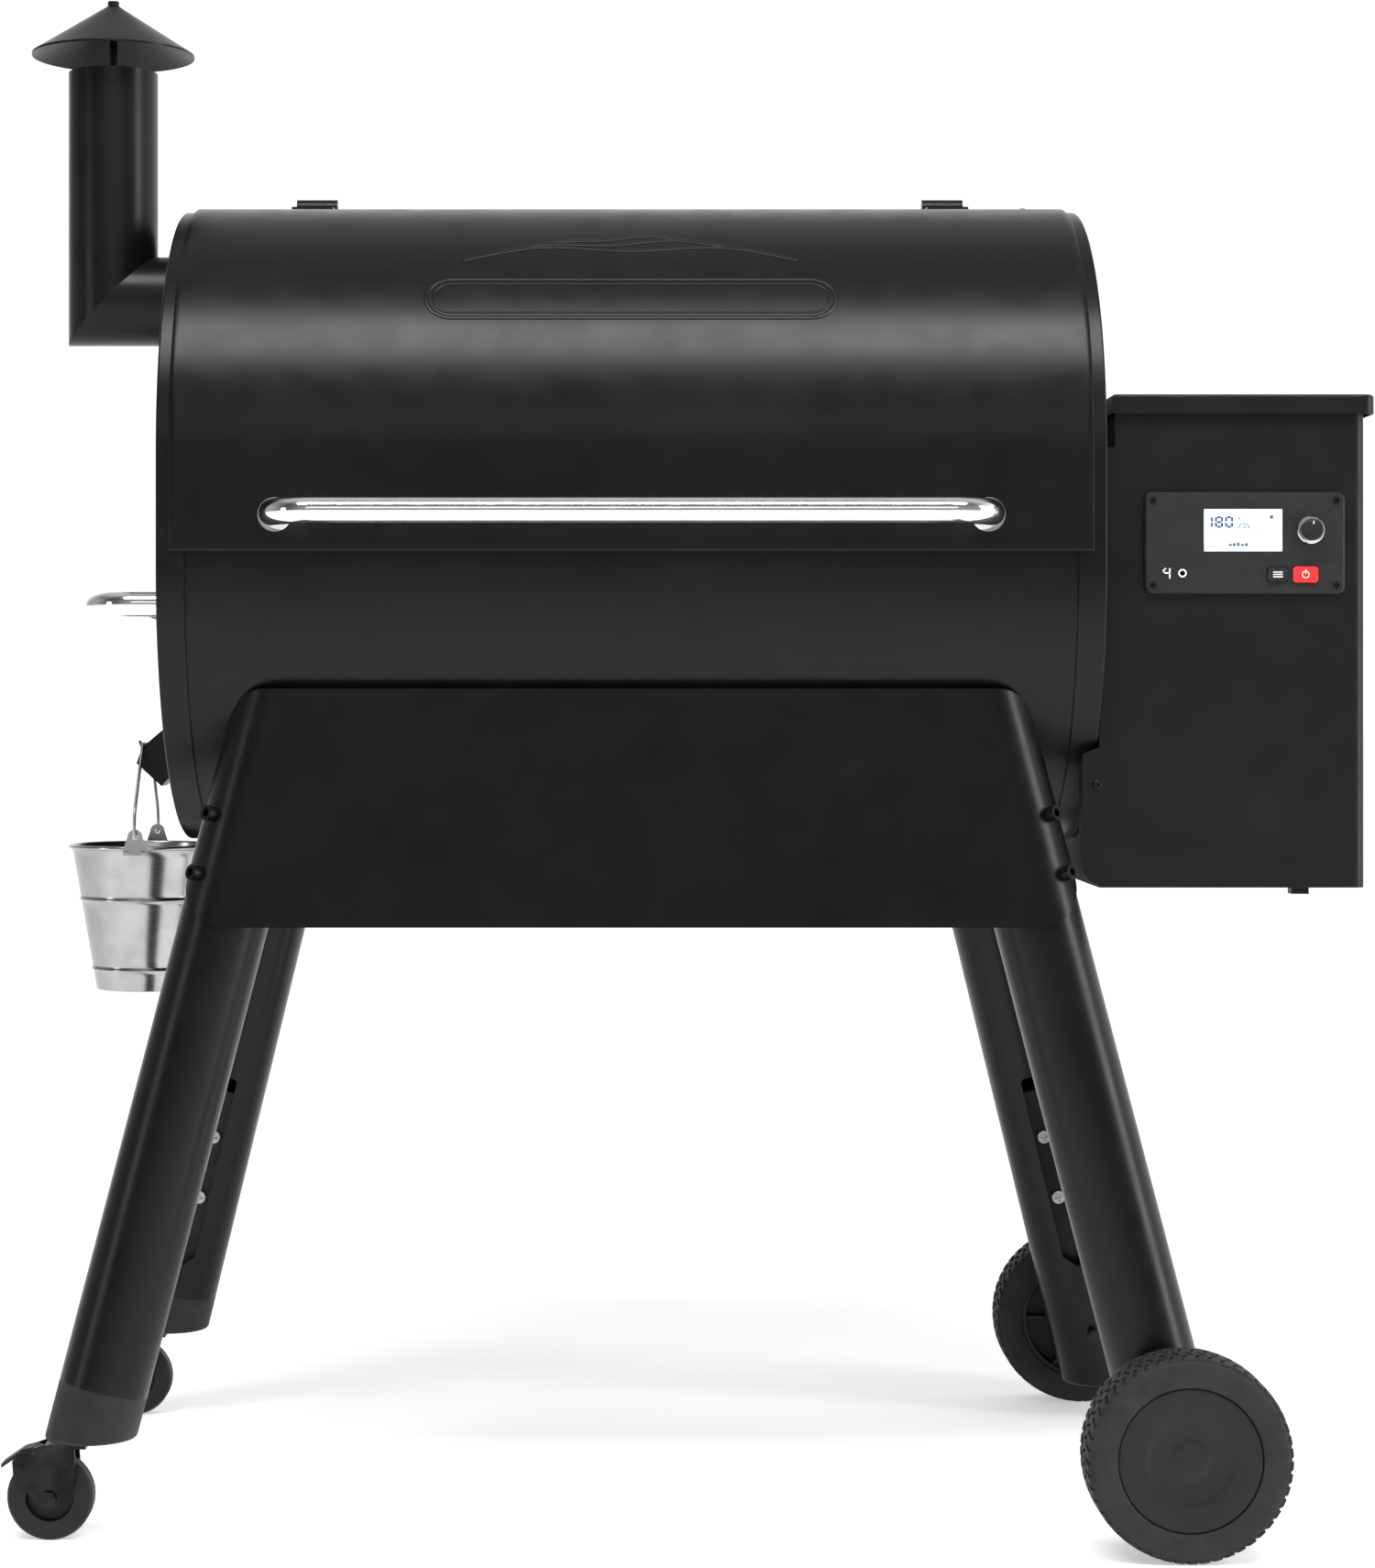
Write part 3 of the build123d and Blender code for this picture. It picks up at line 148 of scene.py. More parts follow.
def moulded(name, dark, light, smooth, matt, scale=1100, depth=0.00006):
    """Moulded plastic or rubber with a fine spark grain."""
    material, shader = new_material(name, light, matt, sheen=0.3)
    tinted(material, shader, noise(material, 60, 4), dark, light)
    rough(material, shader, noise(material, 120, 5, seed=4), smooth, matt)
    bumped(material, shader, noise(material, scale, 3), depth, 0.5)
    return material


def heat_tinted_steel(name):
    """Stainless steel straw and blue from the fire."""
    material, shader = new_material(name, (0.3, 0.27, 0.24), 0.35, 1.0)
    colour = ramp(
        material,
        noise(material, 18, 5),
        [
            (0.3, (0.33, 0.3, 0.27)),
            (0.5, (0.3, 0.2, 0.1)),
            (0.62, (0.12, 0.1, 0.16)),
            (0.75, (0.16, 0.2, 0.3)),
        ],
    )
    material.node_tree.links.new(colour, shader.inputs["Base Color"])
    rough(material, shader, noise(material, 200, 5), 0.28, 0.5)
    bumped(material, shader, noise(material, 500, 3), 0.00004, 0.4)
    return material


def lit_screen(name):
    """Pale backlit display with a faint unevenness."""
    material, shader = new_material(name, (0.5, 0.6, 0.68), 0.25)
    uneven = noise(material, 22, 1, seed=5)
    glow = ramp(material, uneven, [(0.3, (0.55, 0.72, 0.86)), (0.7, (0.78, 0.88, 0.94))])
    material.node_tree.links.new(glow, shader.inputs["Base Color"])
    material.node_tree.links.new(glow, shader.inputs["Emission Color"])
    shader.inputs["Emission Strength"].default_value = 0.42
    return material


materials = {
    "powder_black": powder_coat(
        "powder_black", (0.0022, 0.0022, 0.0024), (0.0034, 0.0034, 0.0036), 0.27, 0.34
    ),
    "hopper_black": powder_coat("hopper_black", (0.0026, 0.0026, 0.0028), (0.004, 0.004, 0.0042), 0.36, 0.46),
    "chrome": bare_metal("chrome", (0.8, 0.8, 0.81), (0.9, 0.9, 0.9), 0.05, 0.13, scale=90, depth=0.00001),
    "bright_steel": bare_metal(
        "bright_steel", (0.31, 0.31, 0.315), (0.37, 0.37, 0.37), 0.18, 0.25, (0.03, 0.03, 1), 900, 0.00001
    ),
    "zinc": bare_metal("zinc", (0.28, 0.28, 0.29), (0.42, 0.42, 0.42), 0.25, 0.42),
    "bolt_black": bare_metal("bolt_black", (0.014, 0.014, 0.0147), (0.028, 0.028, 0.0294), 0.28, 0.45),
    "moulded_black": moulded("moulded_black", (0.008, 0.008, 0.0083), (0.012, 0.012, 0.0124), 0.45, 0.6),
    "panel_plastic": moulded(
        "panel_plastic", (0.0095, 0.0095, 0.0097), (0.0125, 0.0125, 0.0127), 0.38, 0.5
    ),
    "knob_plastic": moulded("knob_plastic", (0.008, 0.008, 0.0083), (0.013, 0.013, 0.0133), 0.3, 0.42),
    "screen": lit_screen("screen"),
    "red_plastic": moulded(
        "red_plastic", (0.62, 0.022, 0.025), (0.7, 0.03, 0.032), 0.32, 0.42, 1400, 0.00002
    ),
    "tyre_rubber": moulded(
        "tyre_rubber", (0.012, 0.012, 0.0122), (0.018, 0.018, 0.0182), 0.6, 0.78, 700, 0.0001
    ),
    "wheel_plastic": moulded(
        "wheel_plastic", (0.0055, 0.0055, 0.0057), (0.0075, 0.0075, 0.0077), 0.45, 0.6
    ),
    "caster_rubber": moulded(
        "caster_rubber", (0.006, 0.006, 0.0062), (0.0085, 0.0085, 0.0087), 0.5, 0.66, 700, 0.0001
    ),
    "porcelain": powder_coat("porcelain", (0.012, 0.012, 0.0125), (0.02, 0.02, 0.0205), 0.12, 0.24),
    "burner_steel": heat_tinted_steel("burner_steel"),
    "motor_can": bare_metal("motor_can", (0.28, 0.28, 0.29), (0.42, 0.42, 0.42), 0.3, 0.5),
}
screen_ink = moulded("screen_ink", (0.05, 0.07, 0.13), (0.07, 0.1, 0.18), 0.4, 0.5)
white_mark = moulded("white_mark", (0.72, 0.72, 0.72), (0.8, 0.8, 0.8), 0.35, 0.45, 1400, 0.00002)

# Every CAD node starts with its slot's material; nodes replaced below are hidden.
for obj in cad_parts.values():
    for index, slot in enumerate(obj.material_slots):
        key = slot.material.name.split(".")[0] if slot.material else "powder_black"
        obj.material_slots[index].material = materials.get(key, materials["powder_black"])


# ---------------------------------------------------------------- mesh helpers
def piece(name, bm, slot, body, replaces=(), crease=35.0, material=None):
    """Finish a mesh in the row frame: outward faces, smooth shading broken at sharp edges."""
    bmesh.ops.remove_doubles(bm, verts=bm.verts, dist=1e-6)
    bmesh.ops.recalc_face_normals(bm, faces=bm.faces)
    for face in bm.faces:
        face.smooth = True
    for edge in bm.edges:
        if edge.is_boundary or edge.calc_face_angle(math.pi) > math.radians(crease):
            edge.smooth = False
    mesh = bpy.data.meshes.new(name)
    bm.to_mesh(mesh)
    bm.free()
    mesh.materials.append(material or materials[slot])
    obj = bpy.data.objects.new(name, mesh)
    bpy.context.scene.collection.objects.link(obj)
    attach(obj, body)
    if replaces:
        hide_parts(*replaces)
    return obj


def bridge(bm, ring_a, ring_b, closed=True):
    """Faces between two rings of points of the same count."""
    count = len(ring_a)
    for i in range(count if closed else count - 1):
        j = (i + 1) % count
        bm.faces.new((ring_a[i], ring_a[j], ring_b[j], ring_b[i]))


def frame_about(axis):
    """Two directions square to an axis."""
    axis = Vector(axis).normalized()
    helper = Vector((0, 0, 1)) if abs(axis.z) < 0.9 else Vector((1, 0, 0))
    first = helper.cross(axis).normalized()
    return first, axis.cross(first)


def lathe(bm, centre, axis, outline, steps=64, closed=True):
    """Turn an outline of (radius, distance along the axis); a zero radius makes a pole."""
    centre = Vector(centre)
    axis = Vector(axis).normalized()
    first, second = frame_about(axis)
    rings = []
    for radius, along in outline:
        base = centre + axis * along
        if radius < 1e-7:
            rings.append([bm.verts.new(base)])
            continue
        ring = []
        for k in range(steps):
            angle = 2 * math.pi * k / steps
            ring.append(bm.verts.new(base + (first * math.cos(angle) + second * math.sin(angle)) * radius))
        rings.append(ring)
    pairs = list(zip(rings, rings[1:]))
    if closed:
        pairs.append((rings[-1], rings[0]))
    for a, b in pairs:
        if len(a) == 1 and len(b) == 1:
            continue
        if len(a) == 1 or len(b) == 1:
            pole, ring = (a[0], b) if len(a) == 1 else (b[0], a)
            for k in range(steps):
                bm.faces.new((pole, ring[k], ring[(k + 1) % steps]))
            continue
        bridge(bm, a, b)


def rounded(outline, radius, steps=3):
    """Round the corners of a closed outline of 2D points."""
    out = []
    count = len(outline)
    for i, point in enumerate(outline):
        here = Vector(point)
        before = Vector(outline[i - 1]) - here
        after = Vector(outline[(i + 1) % count]) - here
        cut = min(radius, before.length * 0.45, after.length * 0.45)
        start = here + before.normalized() * cut
        stop = here + after.normalized() * cut
        for k in range(steps + 1):
            t = k / steps
            spot = start * (1 - t) ** 2 + here * 2 * t * (1 - t) + stop * t**2
            out.append((spot.x, spot.y))
    return out


def swept(bm, path, section, ups, ends=True):
    """Sweep a closed section of (sideways, up) points along a path with an up direction at each point."""
    rings = []
    count = len(path)
    for i, point in enumerate(path):
        ahead = path[min(i + 1, count - 1)] - path[max(i - 1, 0)]
        up = ups[i]
        across = ahead.cross(up).normalized()
        rings.append([bm.verts.new(point + across * a + up * b) for a, b in section])
    for a, b in zip(rings, rings[1:]):
        bridge(bm, a, b)
    if ends:
        bm.faces.new(rings[0])
        bm.faces.new(list(reversed(rings[-1])))


def prism(bm, outline, to_point, low, high, bevel=0.0):
    """A plate with an outline and two depths; to_point turns (u, v, depth) into a place."""
    centre = sum((Vector(p) for p in outline), Vector((0, 0))) / len(outline)

    def loop(depth, inset):
        spots = []
        for p in outline:
            away = Vector(p) - centre
            spot = centre + away * (1 - inset / max(away.length, 1e-9))
            spots.append(bm.verts.new(to_point(spot.x, spot.y, depth)))
        return spots

    levels = [(low, 0.0), (high - bevel, 0.0), (high, bevel)] if bevel else [(low, 0.0), (high, 0.0)]
    loops = [loop(depth, inset) for depth, inset in levels]
    for a, b in zip(loops, loops[1:]):
        bridge(bm, a, b)
    bm.faces.new(list(reversed(loops[0])))
    bm.faces.new(loops[-1])


def box_mesh(bm, low, high, bevel=0.0):
    """A block between two corners with softened edges."""
    low, high = Vector(low), Vector(high)
    made = bmesh.ops.create_cube(bm, size=1.0)
    size = high - low
    for v in made["verts"]:
        v.co = Vector((v.co.x * size.x, v.co.y * size.y, v.co.z * size.z)) + (low + high) / 2
    if bevel:
        edges = {e for v in made["verts"] for e in v.link_edges}
        bmesh.ops.bevel(bm, geom=list(edges), offset=bevel, segments=2, affect="EDGES")


def facing_front(y):
    """(u, v, depth) on an upright plane that faces the front, depth towards the viewer."""
    return lambda u, v, depth: Vector((u, y - depth, v))


# ---------------------------------------------------------------- lid
lid_low, lid_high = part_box("lid_shell")
lid_radius = -lid_low.y
lid_axis_z = lid_high.z - lid_radius
lid_sheet = 2.5 * mm
lid_front_run = lid_axis_z - lid_low.z
lid_back_angle = math.pi / 2 + math.asin(lid_high.y / lid_radius)


def lid_spot(run, lift=0.0):
    """(y, z) on the lid's outside: run is the length up the front face and round the curve."""
    if run <= lid_front_run:
        return -(lid_radius + lift), lid_low.z + run
    angle = (run - lid_front_run) / lid_radius
    return -(lid_radius + lift) * math.cos(angle), lid_axis_z + (lid_radius + lift) * math.sin(angle)


def lid_normal(run):
    """Outward direction of the lid's face at a run."""
    angle = max(0.0, (run - lid_front_run) / lid_radius)
    return Vector((0, -math.cos(angle), math.sin(angle)))


def build_lid():
    """Curved lid sheet with eased edges."""
    total = lid_front_run + lid_radius * lid_back_angle
    ease = 0.7 * mm
    lower_strips = (3 * mm, 14 * mm)
    end_strip = 6 * mm
    curve_steps = 72
    length_steps = 12
    runs = [0.0, ease, *lower_strips, lid_front_run * 0.5, lid_front_run]
    for k in range(1, curve_steps + 1):
        runs.append(lid_front_run + (total - lid_front_run) * k / curve_steps)
    runs.insert(-1, total - ease)
    stations = [lid_low.x, lid_low.x + ease, lid_low.x + end_strip]
    for k in range(1, length_steps):
        stations.append(lid_low.x + (lid_high.x - lid_low.x) * k / length_steps)
    stations += [lid_high.x - end_strip, lid_high.x - ease, lid_high.x]
    count = len(runs)
    rims = (0, count - 1)
    bm = bmesh.new()
    rings = []
    for x in stations:
        edge = min(x - lid_low.x, lid_high.x - x) < ease / 2
        outer_lift = -ease if edge else 0.0
        inner_lift = -lid_sheet + (ease if edge else 0.0)
        ring = []
        for k, run in enumerate(runs):
            y, z = lid_spot(run, outer_lift - (ease if k in rims else 0))
            ring.append(bm.verts.new((x, y, z)))
        for k, run in reversed(list(enumerate(runs))):
            y, z = lid_spot(run, inner_lift + (ease if k in rims else 0))
            ring.append(bm.verts.new((x, y, z)))
        rings.append(ring)
    for a, b in zip(rings, rings[1:]):
        bridge(bm, a, b)
    for ring in (rings[0], rings[-1]):
        for k in range(count - 1):
            bm.faces.new((ring[k], ring[k + 1], ring[2 * count - 2 - k], ring[2 * count - 1 - k]))
    piece("lid_skin", bm, "powder_black", "lid", ["lid_shell"], crease=50)


def lid_ridge(bm, spots, half_width=2.3 * mm, height=1.0 * mm):
    """A pressed line on the lid along (x from the lid's middle, run) spots."""
    root = 0.4 * mm
    crown_steps = 6
    middle = (lid_low.x + lid_high.x) / 2
    path = []
    ups = []
    for x, run in spots:
        y, z = lid_spot(run)
        path.append(Vector((middle + x, y, z)))
        ups.append(lid_normal(run))
    section = []
    for k in range(crown_steps + 1):
        angle = math.pi * k / crown_steps
        section.append((half_width * math.cos(angle), height * math.sin(angle)))
    section += [(-half_width, -root), (half_width, -root)]
    swept(bm, path, section, ups)


def build_emboss():
    """A plain pressed pattern: three rising waves over a blank, framed plate."""
    bm = bmesh.new()
    wave_base = lid_front_run + lid_radius * math.radians(46)
    wave_gap = 13 * mm
    wave_steps = 80
    for row, (half, height) in enumerate(((0.15, 0.030), (0.115, 0.024), (0.075, 0.016))):
        spots = []
        for k in range(wave_steps + 1):
            t = k / wave_steps
            swell = math.sin(math.pi * t) ** 0.8
            ripple = 0.75 + 0.25 * math.sin(3 * math.pi * t + row * 0.9)
            spots.append((-half + 2 * half * t, wave_base + row * wave_gap + height * swell * ripple))
        lid_ridge(bm, spots)
    plate_low = lid_front_run + lid_radius * math.radians(29.5)
    plate_high = lid_front_run + lid_radius * math.radians(40)
    plate_half = 182 * mm
    end_steps = 16
    for inset, width in ((0.0, 2.2 * mm), (6 * mm, 1.3 * mm)):
        half = plate_half - inset
        low, high = plate_low + inset, plate_high - inset
        radius = (high - low) / 2
        spots = []
        for side, centre in ((1, half - radius), (-1, -half + radius)):
            for k in range(end_steps + 1):
                angle = math.pi * (k / end_steps - 0.5)
                across = centre + side * radius * math.cos(angle)
                spots.append((across, (low + high) / 2 + side * radius * math.sin(angle)))
        spots += spots[:2]
        lid_ridge(bm, spots, width, 0.8 * mm)
    piece("lid_pressing", bm, "powder_black", "lid")


build_lid()
build_emboss()


# ---------------------------------------------------------------- bucket
def build_bucket():
    """Drawn steel bucket: rolled rim, two swaged ribs and a recessed base."""
    low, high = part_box("drip_bucket")
    axis = Vector(((low.x + high.x) / 2, (low.y + high.y) / 2, low.z))
    ear_rise = 16 * mm
    tall = high.z - ear_rise - low.z
    rim = (high.x - low.x) / 2
    base_share = 46.5 / 73
    base = rim * base_share
    wall = 0.9 * mm
    roll = 2.1 * mm
    recess = 3 * mm
    ribs = (20 * mm, 86 * mm)
    rib_lift, rib_spread, rib_step = 1.5 * mm, 1.7 * mm, 0.9 * mm
    wall_steps = 24
    roll_steps = 12

    def cone(z):
        return base + (rim - roll - wall - base) * z / tall

    foot = [(0.0, recess), (base - 8 * mm, recess), (base - 5 * mm, 1 * mm), (base - 2 * mm, 0.0)]
    outer = [*foot, (base, 0.6 * mm)]
    levels = {round(tall * k / wall_steps, 6) for k in range(1, wall_steps)}
    for rib in ribs:
        levels |= {round(rib + k * rib_step, 6) for k in range(-4, 5)}
    for z in sorted(levels):
        if 4 * mm <= z <= tall - 2 * roll:
            swell = max(math.exp(-(((z - rib) / rib_spread) ** 2)) for rib in ribs)
            outer.append((cone(z) + rib_lift * swell, z))
    wall_count = len(outer)
    centre_r, centre_z = rim - roll, tall - roll
    for k in range(roll_steps + 1):
        angle = math.radians(-110 + 290 * k / roll_steps)
        outer.append((centre_r + roll * math.cos(angle), centre_z + roll * math.sin(angle)))
    inner = []
    for radius, z in reversed(outer[len(foot):wall_count]):
        inner.append((radius - wall, max(z, recess + wall)))
    inner += [(base - 7 * mm, recess + wall), (0.0, recess + wall)]
    bm = bmesh.new()
    lathe(bm, axis, (0, 0, 1), outer + inner, 96, closed=False)
    piece("bucket_body", bm, "bright_steel", "bucket", ["drip_bucket"])
    build_ears(axis, rim, high.z)


def build_ears(axis, rim, top):
    """A plate ear with a hole and two rivets on the front and the rear of the bucket."""
    ear_radius, ear_half, hole_radius, plate = 7 * mm, 11 * mm, 2.4 * mm, 1.2 * mm
    ear_taper, ear_foot = 12 * mm, 17 * mm
    ear_steps = 24
    rivet = [(2 * mm, -0.3 * mm), (2 * mm, 0.2 * mm), (1.4 * mm, 0.7 * mm), (0, 0.8 * mm)]
    rivet_out, rivet_down = 7.5 * mm, 14.5 * mm
    middle = Vector((axis.x, top - ear_radius))
    ear = []
    for k in range(ear_steps + 1):
        angle = math.pi * k / ear_steps
        ear.append(middle + Vector((math.cos(angle), math.sin(angle))) * ear_radius)
    for across, downs in ((-ear_half, (ear_taper, ear_foot)), (ear_half, (ear_foot, ear_taper))):
        ear += [middle + Vector((across, -down)) for down in downs]
    hole = [middle + (spot - middle).normalized() * hole_radius for spot in ear]
    for side, place in ((-1, "front"), (1, "rear")):
        bm = bmesh.new()
        face_y = axis.y + side * (rim + 0.4 * mm)
        rings = []
        for outline, depth in ((hole, 0.0), (ear, 0.0), (ear, plate), (hole, plate)):
            rings.append([bm.verts.new((u, face_y + side * depth, v)) for u, v in outline])
        for first, second in zip(rings, rings[1:] + rings[:1]):
            bridge(bm, first, second)
        for across in (-rivet_out, rivet_out):
            spot = (axis.x + across, face_y + side * (plate - 0.1 * mm), middle.y - rivet_down)
            lathe(bm, spot, (0, side, 0), rivet, 16, False)
        piece(f"bucket_ear_{place}", bm, "bright_steel", "bucket")


build_bucket()


# ---------------------------------------------------------------- wheels
def build_tyre(side, place):
    """Tyre with rounded shoulders and four rows of slanted tread blocks."""
    low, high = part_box(f"{place}_wheel_tyre")
    centre = Vector(((low.x + high.x) / 2, 0, (low.z + high.z) / 2))
    outer = (high.x - low.x) / 2
    inner_y, outer_y = sorted((abs(low.y), abs(high.y)))
    width = outer_y - inner_y
    sidewall = 26.5 * mm
    tread = 2.2 * mm
    shoulder = 6 * mm
    shoulder_steps = 8
    hub = outer - sidewall
    carcass = outer - tread
    profile = [(hub, 0.4 * mm), (hub + 1 * mm, 0.0)]
    for k in range(shoulder_steps + 1):
        angle = math.pi / 2 * (k / shoulder_steps)
        profile.append((carcass - shoulder * (1 - math.sin(angle)), shoulder * (1 - math.cos(angle))))
    profile += [(radius, width - along) for radius, along in reversed(profile)]
    bm = bmesh.new()
    lathe(bm, (centre.x, side * inner_y, centre.z), (0, side, 0), profile, 96)
    blocks = 50
    step = 2 * math.pi / blocks
    half_block = step * 0.36
    edge_drop = 1.6 * mm
    edge_share = 0.2
    rows = (
        (1.5 * mm, 12 * mm, -0.32, 0.0),
        (13.2 * mm, 24.4 * mm, 0.32, 0.5),
        (25.6 * mm, 36.8 * mm, -0.32, 0.0),
        (38 * mm, 48.5 * mm, 0.32, 0.5),
    )
    levels = ((-1.2 * mm, 0.0), (1.5 * mm, 0.0), (tread, 0.8 * mm))
    for start, stop, slant, phase in rows:
        for k in range(blocks):
            middle = (k + phase) * step
            rings = []
            for lift, shrink in levels:
                ring = []
                for along, end, swing in ((start, -1, -1), (start, -1, 1), (stop, 1, 1), (stop, 1, -1)):
                    off_middle = abs(along / width - 0.5) * 2
                    drop = edge_drop * max(0.0, off_middle - (1 - edge_share)) / edge_share
                    radius = carcass + lift - drop
                    angle = middle + slant * step * end / 2 + swing * (half_block - shrink / carcass)
                    x, z = centre.x + radius * math.cos(angle), centre.z + radius * math.sin(angle)
                    ring.append(bm.verts.new((x, side * (inner_y + along - end * shrink), z)))
                rings.append(ring)
            bridge(bm, rings[0], rings[1])
            bridge(bm, rings[1], rings[2])
            bm.faces.new(rings[2])
            bm.faces.new(list(reversed(rings[0])))
    piece(f"{place}_tyre_tread", bm, "tyre_rubber", f"{place}_wheel", [f"{place}_wheel_tyre"], crease=30)


def build_hub(side, place):
    """Moulded wheel centre: a shallow dish outside, and pockets between six ribs inside."""
    low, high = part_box(f"{place}_wheel_hub")
    centre = Vector(((low.x + high.x) / 2, 0, (low.z + high.z) / 2))
    radius = (high.x - low.x) / 2
    inner_y, outer_y = sorted((abs(low.y), abs(high.y)))
    depth = outer_y - inner_y
    bore, boss, rim = 6.1, 17.0, 57.0
    pocket = 12.0
    outline = [
        (bore, 0.0), (boss - 0.6, 0.0), (boss, 0.6), (boss, pocket), (rim, pocket), (rim, 1.1),
        (rim + 0.6, 0.5), (60.8, 0.5), (61.6, 0.9),
    ]
    face = [
        (61.6, 1.2), (60.9, 0.4), (60.0, 0.1), (58.0, 0.0), (39.5, 0.4), (37.5, 0.8), (36.0, 1.5),
        (33.5, 2.0), (20.0, 2.7), (16.5, 2.6), (15.0, 1.8), (13.5, 1.6), (0.0, 1.6), (0.0, 5.0), (bore, 5.0),
    ]
    profile = [(r * mm, along * mm) for r, along in outline]
    profile += [(r * mm, depth - along * mm) for r, along in face]
    profile = [(min(r, radius), along) for r, along in profile]
    bm = bmesh.new()
    base = Vector((centre.x, side * inner_y, centre.z))
    lathe(bm, base, (0, side, 0), profile, 96)
    ribs = 6
    rib_section = ((-2.0, 2.6), (-1.6, 2.1), (1.6, 2.1), (2.0, 2.6), (2.2, pocket + 1), (-2.2, pocket + 1))
    for k in range(ribs):
        angle = 2 * math.pi / ribs * k
        out = Vector((math.cos(angle), 0, math.sin(angle)))
        turn = Vector((-math.sin(angle), 0, math.cos(angle)))
        rings = []
        for reach in (boss - 0.4, rim + 0.4):
            ring = []
            for across, along in rib_section:
                spot = out * reach + turn * across + Vector((0, side * along, 0))
                ring.append(bm.verts.new(base + spot * mm))
            rings.append(ring)
        bridge(bm, rings[0], rings[1])
        bm.faces.new(list(reversed(rings[0])))
        bm.faces.new(rings[1])
    piece(f"{place}_wheel_centre", bm, "wheel_plastic", f"{place}_wheel", [f"{place}_wheel_hub"])


for side, place in ((-1, "front"), (1, "rear")):
    build_tyre(side, place)
    build_hub(side, place)


# ---------------------------------------------------------------- control panel
panel_low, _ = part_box("control_panel")


def build_knob():
    """Fluted knob with a domed cap, a bright skirt ring and a white pointer."""
    low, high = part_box("control_knob")
    centre = Vector(((low.x + high.x) / 2, high.y, (low.z + high.z) / 2))
    radius = (high.x - low.x) / 2
    depth = high.y - low.y
    flutes = 28
    flute_depth = 0.4 * mm
    steps = flutes * 4
    grip = 9.7 * mm
    skirt = 2.0 * mm
    levels = (
        (grip, skirt),
        (grip, skirt + 1.2 * mm),
        (grip - 0.3 * mm, depth - 2 * mm),
        (grip - 0.9 * mm, depth - 0.6 * mm),
        (grip - 1.9 * mm, depth - 0.1 * mm),
        (grip - 3.2 * mm, depth - 0.2 * mm),
        (grip * 0.35, depth - 0.9 * mm),
    )
    fluted = range(1, 4)
    bm = bmesh.new()
    rings = []
    for index, (level_radius, along) in enumerate(levels):
        ring = []
        for k in range(steps):
            angle = 2 * math.pi * k / steps
            groove = flute_depth * max(0.0, math.cos(flutes * angle)) if index in fluted else 0.0
            out = Vector((math.cos(angle), 0, math.sin(angle))) * (level_radius - groove)
            ring.append(bm.verts.new(centre + out + Vector((0, -along, 0))))
        rings.append(ring)
    for a, b in zip(rings, rings[1:]):
        bridge(bm, a, b)
    pole = bm.verts.new(centre + Vector((0, -depth + 1.0 * mm, 0)))
    back = bm.verts.new(centre + Vector((0, -skirt, 0)))
    for k in range(steps):
        bm.faces.new((pole, rings[-1][k], rings[-1][(k + 1) % steps]))
        bm.faces.new((back, rings[0][k], rings[0][(k + 1) % steps]))
    piece("knob_grip", bm, "knob_plastic", "knob", ["control_knob"], crease=40)
    bm = bmesh.new()
    ring = [
        (grip - 1 * mm, 0.0),
        (radius, 0.0),
        (radius + 0.2 * mm, 0.4 * mm),
        (radius + 0.1 * mm, 1.8 * mm),
        (radius - 0.4 * mm, 2.3 * mm),
        (grip - 1 * mm, 2.4 * mm),
    ]
    lathe(bm, centre, (0, -1, 0), ring, 72)
    piece("knob_skirt_ring", bm, "chrome", "knob")
    bm = bmesh.new()
    pointer_low = centre + Vector((-0.5 * mm, -depth - 0.1 * mm, grip - 5.2 * mm))
    pointer_high = centre + Vector((0.5 * mm, -depth + 1.5 * mm, grip - 2.2 * mm))
    box_mesh(bm, pointer_low, pointer_high, 0.15 * mm)
    piece("knob_pointer", bm, None, "knob", material=white_mark)


# The lit bars of each figure shown, by the usual letters of a seven-bar digit.
SEGMENTS = {"0": "abcdef", "1": "bc", "2": "abged", "5": "afgcd", "8": "abcdefg"}


def segment_bars(width, tall, thick):
    """The seven bars of a digit as (low, high) corners from its lower left."""
    half = tall / 2
    return {
        "a": ((thick, tall - thick), (width - thick, tall)),
        "b": ((width - thick, half + thick / 4), (width, tall - thick / 2)),
        "c": ((width - thick, thick / 2), (width, half - thick / 4)),
        "d": ((thick, 0), (width - thick, thick)),
        "e": ((0, thick / 2), (thick, half - thick / 4)),
        "f": ((0, half + thick / 4), (thick, tall - thick / 2)),
        "g": ((thick, half - thick / 2), (width - thick, half + thick / 2)),
    }


